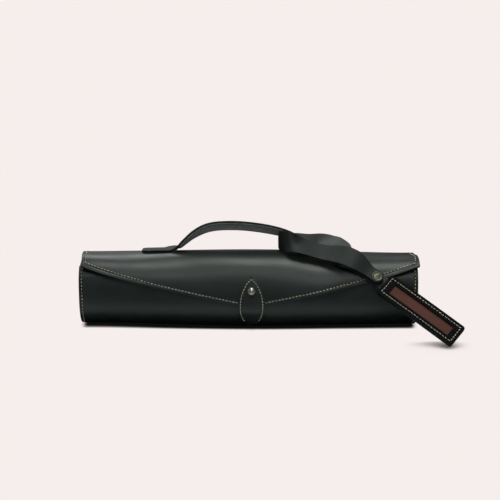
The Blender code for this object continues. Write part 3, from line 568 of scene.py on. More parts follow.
def slab(name, outer, inner, seam, materials, edge_width=0.5 * MM):
    """Leather sheet between two equal grids: grain side, flesh side, cut edge."""
    rows, cols = len(outer), len(outer[0])
    size = rows * cols
    points = [p for row in outer for p in row] + [p for row in inner for p in row]
    faces, indices = [], []
    for i in range(rows - 1):
        for j in range(cols - 1):
            a = i * cols + j
            faces.append((a, a + 1, a + cols + 1, a + cols))
            indices.append(0)
            faces.append((size + a, size + a + cols, size + a + cols + 1, size + a + 1))
            indices.append(1)
    rim = list(range(cols))
    rim += [i * cols + cols - 1 for i in range(1, rows)]
    rim += [(rows - 1) * cols + j for j in range(cols - 2, -1, -1)]
    rim += [i * cols for i in range(rows - 2, 0, -1)]
    for a, b in zip(rim, rim[1:] + rim[:1]):
        faces.append((a, size + a, size + b, b))
        indices.append(2)
    obj = make_object(name, points, faces, materials, indices)
    values = [v for row in seam for v in row] if seam else [NO_SEAM] * size
    mark_seam(obj, values + [NO_SEAM] * size)
    fix_outward(obj)
    if edge_width:
        soften_edges(obj, edge_width)
    return obj


def fix_outward(obj):
    bm = bmesh.new()
    bm.from_mesh(obj.data)
    bmesh.ops.recalc_face_normals(bm, faces=bm.faces)
    bm.to_mesh(obj.data)
    bm.free()


def grid_lengths(grid):
    """Distance of each point from the first and the last of its row."""
    result = []
    for row in grid:
        run = [0.0]
        for a, b in zip(row, row[1:]):
            run.append(run[-1] + (b - a).length)
        result.append([(r, run[-1] - r) for r in run])
    return result


def turned(name, profile, centre, axis, materials, segments=48):
    """Solid of revolution: profile of (radius, height) from axis to axis."""
    turn = axis.to_track_quat("Z", "Y").to_matrix()
    points, rings = [], []
    for radius, height in profile:
        ring = []
        steps = 1 if radius < 1e-9 else segments
        for k in range(steps):
            angle = 2 * math.pi * k / segments
            local = Vector((radius * math.cos(angle), radius * math.sin(angle), height))
            ring.append(len(points))
            points.append(centre + turn @ local)
        rings.append(ring)
    faces = []
    for first, second in zip(rings, rings[1:]):
        for k in range(segments):
            m = (k + 1) % segments
            corners = [first[k % len(first)], first[m % len(first)]]
            corners += [second[m % len(second)], second[k % len(second)]]
            unique = list(dict.fromkeys(corners))
            faces.append(tuple(unique))
    obj = make_object(name, points, faces, materials)
    fix_outward(obj)
    return soften_edges(obj, 0.12 * MM, 2, 50)


# ------------------------------------------------------------ stitching
# Rings of one stitch: place along it, girth and lift, each as a share of full size.
RINGS = [(-1.0, 0.0, -0.9), (-0.93, 0.65, -0.45), (-0.72, 0.95, 0.0), (-0.3, 1.0, 0.25),
         (0.3, 1.0, 0.25), (0.72, 0.95, 0.0), (0.93, 0.65, -0.45), (1.0, 0.0, -0.9)]


def resample(points, normals, pitch):
    """Evenly spaced places along a line: position, direction and normal."""
    run = [0.0]
    for a, b in zip(points, points[1:]):
        run.append(run[-1] + (b - a).length)
    count = max(1, round(run[-1] / pitch))
    step = run[-1] / count
    places = []
    index = 0
    for k in range(count):
        target = (k + 0.5) * step
        while index < len(run) - 2 and run[index + 1] < target:
            index += 1
        f = (target - run[index]) / max(run[index + 1] - run[index], 1e-9)
        along = (points[index + 1] - points[index]).normalized()
        normal = normals[index].lerp(normals[index + 1], f).normalized()
        places.append((points[index].lerp(points[index + 1], f), along, normal))
    return places


def stitches(name, lines, material, pitch=STITCH_PITCH, length=STITCH_LENGTH,
             radius=STITCH_RADIUS, seed=1):
    """Separate stitches that rise from the leather and dive back into it."""
    rng = random.Random(seed)
    sides = 8
    spans = len(RINGS) - 1
    points, faces, uvs = [], [], []
    for line_points, line_normals in lines:
        for centre, along, normal in resample(line_points, line_normals, pitch):
            across = normal.cross(along).normalized()
            tilt = rng.uniform(-0.07, 0.07)
            along = (along + across * tilt).normalized()
            across = normal.cross(along).normalized()
            half = length / 2 * rng.uniform(0.95, 1.04)
            fat = radius * rng.uniform(0.93, 1.07)
            start = len(points)
            for place, girth, lift in RINGS:
                middle = centre + along * place * half + normal * lift * fat
                for k in range(sides):
                    angle = 2 * math.pi * k / sides
                    reach = across * math.cos(angle) + normal * math.sin(angle) * 0.85
                    points.append(middle + reach * max(girth, 0.12) * fat)
            for i in range(spans):
                for k in range(sides):
                    m = (k + 1) % sides
                    a = start + i * sides
                    faces.append((a + k, a + m, a + sides + m, a + sides + k))
                    u0, u1 = i / spans, (i + 1) / spans
                    v0, v1 = k / sides, (k + 1) / sides
                    uvs += [(u0, v0), (u0, v1), (u1, v1), (u1, v0)]
            faces.append(tuple(start + k for k in range(sides))[::-1])
            uvs += [(0, 0)] * sides
            last = start + spans * sides
            faces.append(tuple(last + k for k in range(sides)))
            uvs += [(1, 0)] * sides
    obj = make_object(name, points, faces, [material])
    layer = obj.data.uv_layers.new(name="twist")
    layer.data.foreach_set("uv", [c for pair in uvs for c in pair])
    fix_outward(obj)
    return obj


def surface_line(places, at):
    """Points and normals of a line on a surface function at(place, lift)."""
    points = [at(p, 0.0) for p in places]
    normals = [(at(p, MM) - q).normalized() for p, q in zip(places, points)]
    return points, normals


# ------------------------------------------------------------ case body
def body_lines(x):
    total = section_table(x)[1]
    start = arc_at_height(x, MOUTH_HEIGHT)
    stop = arc_at_height(x, HINGE_HEIGHT, back=True) - total
    return start, stop


def make_body():
    rows = 130
    columns = crowded(-HALF_LENGTH, HALF_LENGTH, 96, 0.8)
    outer, inner, seam = [], [], []
    for i in range(rows + 1):
        outer_row, inner_row, seam_row = [], [], []
        for x in columns:
            start, stop = body_lines(x)
            arc = mix(start, stop, i / rows)
            wave = unevenness(x, arc)
            point = wall_point(x, arc, wave)
            point.z = max(point.z, 0.0)
            outer_row.append(point)
            inner_row.append(wall_point(x, arc, wave - LEATHER))
            seam_row.append((HALF_LENGTH - abs(x)) / END_SEAM_INSET)
        outer.append(outer_row)
        inner.append(inner_row)
        seam.append(seam_row)
    body = slab("case_body", outer, inner, seam, [BLACK, FLESH, EDGE])
    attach(body, "case")
    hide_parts("body_panel")


def make_end(name, side):
    """Pan-shaped end: a wall set in from the end with its rim turned outward."""
    steps = 160
    rim_x = HALF_LENGTH - 0.15 * MM
    wall = HALF_LENGTH - END_RIM_DEPTH
    outside = -(LEATHER + 0.12 * MM)
    inside = outside - END_LEATHER
    total = section_table(side * HALF_LENGTH)[1]
    turn = 2.2 * MM
    profile = []
    for k in range(7):
        angle = math.pi / 2 * k / 6
        profile.append((wall + turn * (1 - math.sin(angle)), inside - turn * (1 - math.cos(angle))))
    outline = [(rim_x, outside), (rim_x, inside)] + profile
    outline += [(wall, inside - turn - inset * MM) for inset in (3, 8, 14, 20, 26)]
    back = [(wall - END_LEATHER, outside)]
    back += [(wall - END_LEATHER, inside - turn - inset * MM) for inset in (3, 14, 26)]
    loops = back[::-1] + outline
    points, faces, indices = [], [], []
    for x, offset in loops:
        for k in range(steps):
            base = wall_point(side * HALF_LENGTH, total * k / steps, offset)
            bulge = 0.0
            if x <= wall:
                bulge = END_WAVE * noise.noise(Vector((base.y * 40, base.z * 40, side)))
                bulge *= smooth((30 * MM - abs(base.y)) / (10 * MM))
            base.x = side * (x + bulge)
            points.append(base)
    rings = len(loops)
    for i in range(rings - 1):
        for k in range(steps):
            m = (k + 1) % steps
            faces.append((i * steps + k, i * steps + m, (i + 1) * steps + m, (i + 1) * steps + k))
            rim_face = i == len(back)
            indices.append(2 if rim_face else (1 if i < len(back) - 1 else 0))
    for ring in (0, rings - 1):
        centre = Vector((0, 0, 0))
        for k in range(steps):
            centre += points[ring * steps + k]
        points.append(centre / steps)
        hub = len(points) - 1
        for k in range(steps):
            faces.append((ring * steps + k, ring * steps + (k + 1) % steps, hub))
            indices.append(1 if ring == 0 else 0)
    end = make_object(name, points, faces, [BLACK, FLESH, EDGE], indices)
    mark_seam(end, [NO_SEAM] * len(end.data.vertices))
    fix_outward(end)
    soften_edges(end, 0.4 * MM)
    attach(end, "case")
    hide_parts(name.replace("case_", "") + "_panel")


def end_seam(name, side, nodes):
    x = side * (HALF_LENGTH - END_SEAM_INSET)
    total = section_table(x)[1]

    def at(arc, lift):
        return wall_point(x, arc % total, unevenness(x, arc) + lift - STITCH_SINK)

    front = (arc_at_height(x, END_SEAM_TOP_FRONT), arc_at_height(x, END_SEAM_FOOT))
    back = (arc_at_height(x, END_SEAM_TOP_BACK, True) - total,
            arc_at_height(x, END_SEAM_FOOT, True) - total)
    lines = []
    for start, stop in (front, back):
        lines.append(surface_line([mix(start, stop, k / 60) for k in range(61)], at))
    seam = stitches(name, lines, TAN, seed=3)
    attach(seam, "case")
    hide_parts(*nodes)


# ------------------------------------------------------------ flap
FLAP_STAND_OFF = LEATHER + GAP + 0.1 * MM
# How far parts of the flap stand off beyond that.
FLAP_CURL_LEFT = 5.6 * MM
FLAP_CURL_RIGHT = 4.6 * MM
FLAP_FLARE = 4.2 * MM
FLAP_EDGE_CURL = 0.5 * MM
FLAP_SHOULDER = 2.3 * MM


def flap_hinge_arc(x):
    return arc_at_height(x, HINGE_HEIGHT, back=True) - GAP


def flap_edge_height(x):
    """Height of the pointed lower edge of the flap."""
    reach = (x - CENTRE_X) / (FLAP_RIGHT_CORNER - CENTRE_X)
    if x < CENTRE_X:
        reach = (CENTRE_X - x) / (CENTRE_X - FLAP_LEFT_CORNER)
    soft = FLAP_APEX_SOFTNESS / HALF_LENGTH
    reach = math.sqrt(reach * reach + soft * soft) - soft
    reach /= math.sqrt(1 + soft * soft) - soft
    return mix(FLAP_APEX_HEIGHT, FLAP_CORNER_HEIGHT, reach)


def flap_lift(x, arc):
    """How far the outer face of the flap stands off the case outline."""
    hinge = flap_hinge_arc(x)
    mouth = arc_at_height(x, MOUTH_HEIGHT)
    along = (hinge - arc) / (hinge - mouth - 6 * MM)
    return FLAP_STAND_OFF * smooth(along)


def flap_curl(share, along):
    """The corners and the free edge stand proud of the case, the middle bulges.
    share runs left to right, along runs from the hinge to the edge."""
    low = smooth((along - 0.5) / 0.5)
    lip = smooth((along - 0.66) / 0.34)
    left = bump(share, 0.0, 0.24) * FLAP_CURL_LEFT
    right = bump(share, 1.0, 0.15) * FLAP_CURL_RIGHT
    flare = bump(share, 0.715, 0.085) * FLAP_FLARE
    edge = FLAP_EDGE_CURL * (1 - bump(share, 0.5, 0.12))
    shoulder = bump(along, 0.56, 0.16) * bump(share, 0.46, 0.2) * FLAP_SHOULDER
    return low * (left + right + edge) + lip * flare + shoulder


def flap_ends(share):
    top = mix(FLAP_LEFT_TOP, FLAP_RIGHT_TOP, share)
    low = mix(FLAP_LEFT_CORNER, FLAP_RIGHT_CORNER, share)
    return top, low


def flap_point(share, along, extra=0.0):
    """Point of the outer face, moved outward by extra."""
    top, low = flap_ends(share)
    x = mix(top, low, max(0.0, along - FLAP_CREST) / (1 - FLAP_CREST))
    hinge = flap_hinge_arc(x)
    edge = arc_at_height(x, flap_edge_height(low))
    arc = mix(hinge, edge, along)
    wave = unevenness(x, arc)
    return wall_point(x, arc, flap_lift(x, arc) + flap_curl(share, along) + wave + extra)


def flap_seam_distance(share):
    """Distance of the seam from the pointed edge, less near the tab."""
    return mix(2.9, 4.0, smooth(abs(share - 0.5) * 2)) * MM


def make_flap():
    rows = 110
    shares = crowded(0, 1, 150, 0.5)
    outer, inner = [], []
    for i in range(rows + 1):
        outer.append([flap_point(s, i / rows) for s in shares])
        inner.append([flap_point(s, i / rows, -LEATHER) for s in shares])
    sideways = grid_lengths(outer)
    downward = grid_lengths([list(column) for column in zip(*outer)])
    seam = []
    for i in range(rows + 1):
        row = []
        for j, share in enumerate(shares):
            left, right = sideways[i][j]
            low = downward[j][i][1]
            row.append(min(left / FLAP_SEAM_INSET, right / FLAP_SEAM_INSET,
                           low / flap_seam_distance(share)))
        seam.append(row)
    flap = slab("flap", outer, inner, seam, [BLACK, FLESH, EDGE])
    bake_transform(flap)
    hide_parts("flap_panel")


def flap_seam(name, side, node):
    """Stitching down one side of the flap and along its pointed edge to the tab."""
    inset = FLAP_SEAM_INSET / (2 * HALF_LENGTH)
    edge_share = inset if side < 0 else 1 - inset
    path = [(edge_share, mix(0.0, FLAP_SIDE_SEAM_END, k / 40)) for k in range(41)]
    centre_share = (CENTRE_X + side * FLAP_SEAM_TAB_GAP - FLAP_LEFT_CORNER)
    centre_share /= FLAP_RIGHT_CORNER - FLAP_LEFT_CORNER
    for k in range(81):
        share = mix(edge_share, centre_share, k / 80)
        _top, low = flap_ends(share)
        length = abs(flap_hinge_arc(low) - arc_at_height(low, flap_edge_height(low)))
        path.append((share, 1 - flap_seam_distance(share) / length))
    points = [flap_point(s, a, -STITCH_SINK) for s, a in path]
    above = [flap_point(s, a, MM) for s, a in path]
    normals = [(b - a).normalized() for a, b in zip(points, above)]
    seam = stitches(name, [(points, normals)], TAN, seed=7 + side)
    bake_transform(seam)
    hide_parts(node)


# ------------------------------------------------------------ tab and stud
def leaf(reach, distance):
    """Share of the full width: pointed above the middle, rounder below it."""
    if distance > 0:
        return (1 - reach ** 1.9) ** 0.68
    return (1 - reach ** 2.2) ** 0.52


def tab_half_width(distance):
    """Half width of the leaf-shaped tab at a distance from its middle."""
    reach = min(abs(distance) / TAB_HALF_LENGTH, 1.0)
    return TAB_HALF_WIDTH * leaf(reach, distance)


def tab_seam_half(distance):
    """Half width of the line of stitches inside the edge of the tab."""
    reach = min(abs(distance) / (TAB_HALF_LENGTH - TAB_SEAM_INSET), 1.0)
    return (TAB_HALF_WIDTH - TAB_SEAM_INSET) * leaf(reach, distance)


def tab_hinge_distance():
    hinge = arc_at_height(CENTRE_X, TAB_HINGE_HEIGHT)
    return hinge - arc_at_height(CENTRE_X, TAB_MIDDLE_HEIGHT)


def tab_offset(distance):
    rise = smooth((distance - tab_hinge_distance() + TAB_RAMP) / (2 * TAB_RAMP))
    return 0.1 * MM + (FLAP_STAND_OFF + 0.1 * MM) * rise


def tab_point(distance, across, lift):
    arc = arc_at_height(CENTRE_X, TAB_MIDDLE_HEIGHT) + distance
    x = CENTRE_X + across
    sag = 0.35 * MM * smooth(abs(across) / TAB_HALF_WIDTH)
    return wall_point(x, arc, tab_offset(distance) + lift - sag)


def cut_tab(tab):
    """Cut the hole for the stud and the slit below it."""
    seat, axis = stud_frame()
    low, high = -3 * MM, 9 * MM
    profile = [(0, low), (TAB_HOLE_RADIUS, low), (TAB_HOLE_RADIUS, high), (0, high)]
    hole = turned("hole_tool", profile, seat, axis, [EDGE], 32)
    tool = bpy.data.meshes.new("slit")
    bm = bmesh.new()
    bmesh.ops.create_cube(bm, size=1.0)
    up = (tab_point(22 * MM, 0, 0) - tab_point(12 * MM, 0, 0)).normalized()
    side = up.cross(axis).normalized()
    turn = Matrix((side, up, axis)).transposed().to_4x4()
    place = Matrix.Translation(seat - up * TAB_SLIT_DROP)
    bm.transform(place @ turn @ Matrix.Diagonal((*TAB_SLIT_SIZE, 1)))
    bm.to_mesh(tool)
    bm.free()
    tool.materials.append(EDGE)
    slit = add_to_scene("slit", tool)
    for cutter in (hole, slit):
        modifier = tab.modifiers.new("cut", "BOOLEAN")
        modifier.operation = "DIFFERENCE"
        modifier.solver = "EXACT"
        modifier.object = cutter
    apply_modifiers(tab)
    for cutter in (hole, slit):
        bpy.data.objects.remove(cutter, do_unlink=True)


def make_tab():
    rows, cols = 96, 30
    outer, inner, seam = [], [], []
    for i in range(rows + 1):
        eased = math.sin(math.pi * (i / rows - 0.5))
        distance = eased * TAB_HALF_LENGTH * 0.9995
        half = max(tab_half_width(distance), 0.15 * MM)
        outer_row, inner_row, seam_row = [], [], []
        for k in range(cols + 1):
            across = half * math.sin(math.pi * (k / cols - 0.5))
            inner_row.append(tab_point(distance, across, 0.0))
            outer_row.append(tab_point(distance, across, TAB_LEATHER))
            near = 1 + (tab_seam_half(distance) - abs(across)) / TAB_SEAM_INSET
            seam_row.append(near if distance > TAB_SEAM_END else NO_SEAM)
        outer.append(outer_row)
        inner.append(inner_row)
        seam.append(seam_row)
    tab = slab("tab", outer, inner, seam, [BLACK, FLESH, EDGE], 0.45 * MM)
    cut_tab(tab)
    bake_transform(tab)
    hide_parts("tab_base", "tab_tongue")

    places = []
    reach = TAB_HALF_LENGTH - TAB_SEAM_INSET
    for side in (-1, 1):
        for k in range(121):
            distance = side * reach * math.cos(math.pi * k / 120)
            if distance > TAB_SEAM_END:
                places.append((distance, side))

    def at(place, lift):
        distance, side = place
        half = tab_seam_half(distance)
        return tab_point(distance, side * half, TAB_LEATHER + lift - STITCH_SINK)

    line = surface_line(places, at)
    seam_piece = stitches("tab_stitching", [line], TAN, pitch=3.1 * MM, length=2.4 * MM, seed=5)
    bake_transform(seam_piece)
    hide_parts("tab_base_thread", "tab_thread")


def stud_frame():
    arc = arc_at_height(CENTRE_X, STUD_HEIGHT)
    seat = wall_point(CENTRE_X, arc, FLAP_STAND_OFF)
    axis = (wall_point(CENTRE_X, arc, FLAP_STAND_OFF + MM) - seat).normalized()
    return seat, axis


def make_stud():
    seat, axis = stud_frame()
    profile = [(0, -0.4 * MM), (STUD_NECK_RADIUS, -0.4 * MM), (STUD_NECK_RADIUS, 2.6 * MM)]
    first = math.asin(STUD_NECK_RADIUS / STUD_BALL_RADIUS)
    for k in range(21):
        angle = mix(math.pi - first, 0, k / 20)
        radius = STUD_BALL_RADIUS * math.sin(angle)
        height = STUD_BALL_HEIGHT + STUD_BALL_RADIUS * math.cos(angle)
        profile.append((max(radius, 0.0), height))
    profile[-1] = (0, STUD_BALL_HEIGHT + STUD_BALL_RADIUS)
    stud = turned("ball_stud", profile, seat, axis, [NICKEL])
    low = -LEATHER - 0.1 * MM
    profile = [(0, low), (3.4 * MM, low), (3.9 * MM, low + 0.3 * MM), (3.9 * MM, low + 0.9 * MM)]
    profile.append((0, low + 0.9 * MM))
    screw = turned("stud_screw_head", profile, seat, axis, [NICKEL])
    for piece, node in ((stud, "stud_head"), (screw, "stud_screw")):
        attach(piece, "flap")
        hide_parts(node)


# ------------------------------------------------------------ handle
def handle_shape():
    """Control points along the handle: x and height above the pivot line, mm."""
    return [
        (-78, 0.0), (-72, 1.6), (-67, 4.6), (-62, 9.2), (-55, 15.3), (-46, 20.8),
        (-36, 24.0), (-22, 25.2), (-6, 24.8), (12, 22.6), (28, 19.2), (40, 15.2),
        (50, 10.3), (57, 6.4), (63, 3.4), (70, 1.0), (78, 0.0),
    ]


def flap_top(x):
    """Greatest height of the flap across the width of the handle."""
    heights = []
    for k in range(-5, 6):
        arc = arc_top(x) + k / 5 * HANDLE_WIDTH / 2
        heights.append(wall_point(x, arc, flap_lift(x, arc)).z)
    return max(heights)


def handle_samples():
    """Centre line and side vector from the left end to the right end."""
    rest = HANDLE_THICK / 2 + 0.1 * MM
    middle = []
    for x, height in spline(handle_shape(), 161):
        x *= MM
        height = max(height, 0.0) * MM
        lean = 0.6 * smooth(height / (4.5 * MM)) + 0.4 * smooth(height / (24 * MM))
        lean *= HANDLE_LEAN
        foot = flap_top(x) + rest
        y = height * math.sin(lean)
        z = mix(foot, HANDLE_PIVOT_Z, smooth(height / (12 * MM))) + height * math.cos(lean)
        middle.append((Vector((x, y, z)), Vector((0, -math.cos(lean), math.sin(lean)))))
    left, right = [], []
    for k in range(24):
        x = mix(ANCHOR_END, ANCHOR_START, k / 23)
        left.append((Vector((-x, 0, flap_top(-x) + rest)), Vector((0, -1, 0))))
        right.append((Vector((x, 0, flap_top(x) + rest)), Vector((0, -1, 0))))
    return left + middle + right[::-1]


def frames_along(samples):
    result = []
    for i, (centre, side) in enumerate(samples):
        along = samples[min(i + 1, len(samples) - 1)][0] - samples[max(i - 1, 0)][0]
        along.normalize()
        face = side.cross(along).normalized()
        result.append((centre, along, along.cross(face).normalized(), face))
    return result


def strip_grids(frames, widths, thick, cols=14, crown=0.0):
    """Outer and inner grids of a strap, its edges gently thinned."""
    outer, inner, across_rows = [], [], []
    for (centre, _along, side, face), width in zip(frames, widths):
        outer_row, inner_row, reach = [], [], []
        for k in range(cols + 1):
            f = mix(-1, 1, k / cols)
            thin = 1 - 0.10 * smooth((abs(f) - 0.8) / 0.2)
            base = centre + side * width / 2 * f + face * crown * (1 - f * f)
            outer_row.append(base + face * thick / 2 * thin)
            inner_row.append(base - face * thick / 2 * thin)
            reach.append(width / 2 * (1 - abs(f)))
        outer.append(outer_row)
        inner.append(inner_row)
        across_rows.append(reach)
    return outer, inner, across_rows


def drape_height(x, y):
    """Height of the flap at x and a distance y in front of or behind the top."""
    arc = arc_top(x) + y
    return wall_point(x, arc, flap_lift(x, arc)).z + 0.1 * MM


def anchor_drop(point, x=None):
    """How far the flat ends of the handle bend down to follow the flap."""
    x = point.x if x is None else x
    if abs(x) <= ANCHOR_START:
        return 0.0
    share = smooth((abs(x) - ANCHOR_START) / (6 * MM))
    return (flap_top(x) - drape_height(x, point.y)) * share


def make_handle():
    samples = handle_samples()
    frames = frames_along(samples)
    widths = []
    for centre, _along, _side, _face in frames:
        rounding = smooth((ANCHOR_END - abs(centre.x)) / (5 * MM))
        widths.append(HANDLE_WIDTH * mix(0.72, 1.0, math.sqrt(rounding)))
    outer, inner, reach = strip_grids(frames, widths, HANDLE_THICK, 16)
    for grid in (outer, inner):
        for row in grid:
            for point in row:
                point.z -= anchor_drop(point)
    seam = [[value / HANDLE_SEAM_INSET for value in row] for row in reach]
    band = slab("handle", outer, inner, seam, [STRAP_BLACK, HANDLE_FLESH_PAINTED_LIGHT, EDGE], 0.5 * MM)
    lines = []
    for side in (-1, 1):
        for face in (-1, 1):
            points, normals = [], []
            for centre, _along, across, up in frames[2:-2]:
                if face < 0 and abs(centre.x) > UNDERSIDE_SEAM_END:
                    continue
                place = centre + across * side * (HANDLE_WIDTH / 2 - HANDLE_SEAM_INSET)
                place += up * face * (HANDLE_THICK / 2 - STITCH_SINK)
                place.z -= anchor_drop(place, centre.x)
                points.append(place)
                normals.append(up * face)
            lines.append((points, normals))
    for side in (-1, 1):
        for x in ANCHOR_SEAMS:
            points, normals = [], []
            for k in range(9):
                y = mix(-7.0, 7.0, k / 8) * MM
                level = drape_height(side * x, y) + HANDLE_THICK + 0.02 * MM
                points.append(Vector((side * x, y, level)))
                normals.append(Vector((0, 0, 1)))
            lines.append((points, normals))
    thread = stitches("handle_stitching", lines, DARK_THREAD, pitch=3.0 * MM, length=2.2 * MM,
                      radius=0.30 * MM, seed=9)
    for piece in (band, thread):
        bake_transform(piece)
    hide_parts("handle_grip", "handle_anchor_left", "handle_anchor_right")
    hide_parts("handle_thread_near", "handle_thread_far",
                "anchor_left_thread", "anchor_right_thread")


# ------------------------------------------------------------ tag strap
def tag_point(along, up, face=0.0):
    return TAG_CENTRE + TAG_LONG * along + TAG_UP * up + TAG_FACE * face


SNAP_CENTRE = tag_point(TAG_EDGE - SNAP_FROM_EDGE, 0)


def meeting_station(level, back):
    centre = (MEETING + MEETING_FACE * level - MEETING_ALONG * back) / MM
    return (*centre, *MEETING_SIDE, STRAP_WIDTH / MM)


def strap_stations():
    """Front ply from the meeting point, round the handle, and back by the rear.
    Each entry: x, y, z of the centre in mm, the upward side vector, the width."""
    return [
        meeting_station(FRONT_LEVEL, 0),
        meeting_station(FRONT_LEVEL, 8 * MM),
        (84, -29.0, 78.2, 0.40, 0.70, 0.60, 20.4),
        (71, -23.2, 78.6, 0.20, 0.84, 0.50, 20),
        (52, -19.5, 83.2, 0.08, 0.84, 0.54, 20),
        (40, -17.0, 87.2, 0.02, 0.35, 0.94, 20),
        (32.5, -9.5, 86.6, 0.00, 0.05, 1.00, 19),
        (30.8, 3.0, 82.6, 0.00, 0.10, 1.00, 13),
        (31.5, 12.5, 79.2, -0.05, 0.30, 0.95, 9.6),
        (35, 20.8, 77.6, -0.10, 0.45, 0.88, 11),
        (46, 24.6, 79.0, 0.00, 0.70, 0.70, 17),
        (60, 24.0, 79.0, 0.10, 0.80, 0.60, 17),
        (72, 21.5, 81.0, 0.25, 0.80, 0.55, 15),
        (81, 10.5, 81.9, 0.42, 0.84, 0.32, 17),
        (87, -3.0, 82.8, 0.50, 0.80, 0.28, 17.5),
        (91.5, -16.5, 80.6, 0.56, 0.70, 0.42, 19),
        meeting_station(REAR_LEVEL, 8 * MM),
        meeting_station(REAR_LEVEL, 0),
    ]


def tail_frames(level_start, level_end, reach, end_width, steps=34):
    """Frames and widths of one ply from the meeting point to past the snap."""
    straight = tag_point(TAG_EDGE - SNAP_FROM_EDGE - SNAP_RUN_IN, 0)
    end = tag_point(TAG_EDGE - SNAP_FROM_EDGE + reach, 0)
    span = (straight - MEETING).length
    line = []
    for k in range(steps):
        f = k / (steps - 1)
        point = MEETING * (2 * f ** 3 - 3 * f ** 2 + 1)
        point += MEETING_ALONG * span * (f ** 3 - 2 * f ** 2 + f)
        point += straight * (3 * f ** 2 - 2 * f ** 3)
        point += TAG_LONG * span * (f ** 3 - f ** 2)
        line.append(point)
    extra = max(2, round((end - straight).length / MM))
    line += [straight.lerp(end, k / extra) for k in range(1, extra + 1)]
    frames, widths = [], []
    last = len(line) - 1
    for k, point in enumerate(line):
        blend = smooth(k / (steps - 1))
        along = TAG_LONG if k >= steps else (line[min(k + 1, last)] - line[max(k - 1, 0)])
        if k == 0:
            along = MEETING_ALONG
        along = along.normalized()
        side = MEETING_SIDE.lerp(TAG_UP, blend).normalized()
        face = along.cross(side).normalized()
        side = face.cross(along).normalized()
        level = mix(level_start, level_end, blend)
        frames.append((point + face * level, along, side, face))
        widths.append(mix(STRAP_WIDTH, end_width, smooth(k / (steps * 0.92))))
    return frames, widths


def make_strap():
    samples, widths = [], []
    for x, y, z, a, b, c, width in spline(strap_stations(), 205):
        samples.append((Vector((x, y, z)) * MM, Vector((a, b, c)).normalized()))
        widths.append(width * MM)
    frames = frames_along(samples)
    first = frames[0]
    frames[0] = (first[0], -MEETING_ALONG, first[2], first[3])
    rear, rear_widths = tail_frames(REAR_LEVEL, SNAP_REAR_LEVEL, 0.0, 14 * MM)
    rear = [(c, a, s, -f) for c, a, s, f in rear]
    widths += rear_widths[1:]
    outer, inner, _reach = strip_grids(frames + rear[1:], widths, STRAP_THICK)
    loop = slab("strap_loop_band", outer, inner, None, [STRAP_BLACK, STRAP_BLACK, EDGE], 0.4 * MM)
    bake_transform(loop)
    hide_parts("strap_loop", "strap_rear_ply")

    front, front_widths = tail_frames(FRONT_LEVEL, SNAP_FRONT_LEVEL, 6.2 * MM, 12.4 * MM)
    for k, station in enumerate(front):
        left = (front[-1][0] - station[0]).length
        if left < STRAP_TIP:
            front_widths[k] *= math.sqrt(max(0.04, 1 - (1 - left / STRAP_TIP) ** 2))
    outer, inner, _reach = strip_grids(front, front_widths, STRAP_THICK)
    ply = slab("strap_front_band", outer, inner, None, [STRAP_BLACK, FLESH, EDGE], 0.4 * MM)
    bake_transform(ply)
    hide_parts("strap_front_ply")

    neck_frames, neck_widths = [], []
    for k in range(25):
        along = mix(-SNAP_FROM_EDGE, NECK_END, k / 24)
        level = mix(SNAP_REAR_LEVEL, 0.0, smooth(k / 18))
        neck_frames.append((tag_point(TAG_EDGE + along, 0, level), TAG_LONG, TAG_UP, TAG_FACE))
        neck_widths.append(mix(14.0, 15.5, k / 24) * MM)
    outer, inner, _reach = strip_grids(neck_frames, neck_widths, 1.4 * MM)
    neck = slab("tag_neck", outer, inner, None, [STRAP_BLACK, STRAP_BLACK, EDGE], 0.3 * MM)
    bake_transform(neck)


def snap_profile(*corners):
    """Profile to turn, from a radius in mm, a level, and a height above it in mm."""
    return [(radius * MM, level + height * MM) for radius, level, height in corners]


def make_snap():
    half = STRAP_THICK / 2
    top = SNAP_FRONT_LEVEL + half
    low = SNAP_FRONT_LEVEL - half
    bottom = SNAP_REAR_LEVEL + half
    under = SNAP_REAR_LEVEL - half
    cap = snap_profile((0, top, -0.1), (5.2, top, -0.1), (5.5, top, 0.2), (5.45, top, 0.6),
                       (5.1, top, 0.95), (4.6, top, 1.05), (4.1, top, 0.95), (3.8, top, 0.7),
                       (3.4, top, 0.68), (2.6, top, 0.82), (1.6, top, 0.92), (0.8, top, 0.96),
                       (0, top, 0.97))
    socket = snap_profile((0, low, 0), (4.3, low, 0), (4.3, bottom, 1.2), (3.8, bottom, 0.7),
                          (2.3, bottom, 0.7), (2.3, low, -0.6), (0, low, -0.6))
    stud = snap_profile((0, bottom, 0), (4.2, bottom, 0), (4.2, bottom, 0.4),
                        (1.7, bottom, 0.5), (1.9, bottom, 1.5), (1.3, low, -0.9), (0, low, -0.9))
    post = snap_profile((0, under, -0.75), (2.4, under, -0.95), (4.0, under, -0.6),
                        (4.4, under, 0.1), (0, under, 0.1))
    for name, profile, body, node in (
            ("snap_cap_disc", cap, "strap_end", "snap_cap"),
            ("snap_socket_ring", socket, "strap_end", "snap_socket"),
            ("snap_stud_post", stud, "tag_strap", "snap_stud"),
            ("snap_rivet", post, "tag_strap", "snap_post")):
        piece = turned(name, profile, SNAP_CENTRE, TAG_FACE, [OLD_NICKEL])
        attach(piece, body)
        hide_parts(node)


# ------------------------------------------------------------ tag
def rounded_outline(length, width, corner, steps=8):
    points = []
    for sx, sy, start in ((1, 1, 0), (-1, 1, 90), (-1, -1, 180), (1, -1, 270)):
        for k in range(steps + 1):
            angle = math.radians(start + 90 * k / steps)
            x = sx * (length / 2 - corner) + corner * math.cos(angle)
            y = sy * (width / 2 - corner) + corner * math.sin(angle)
            points.append((x, y))
    return points


def tag_bend(along):
    """The tag bows very slightly along its length."""
    return 0.5 * MM * (1 - (2 * along / TAG_LENGTH) ** 2) - 0.3 * MM


def tag_surface(along, up, level):
    return tag_point(along, up, level + tag_bend(along))


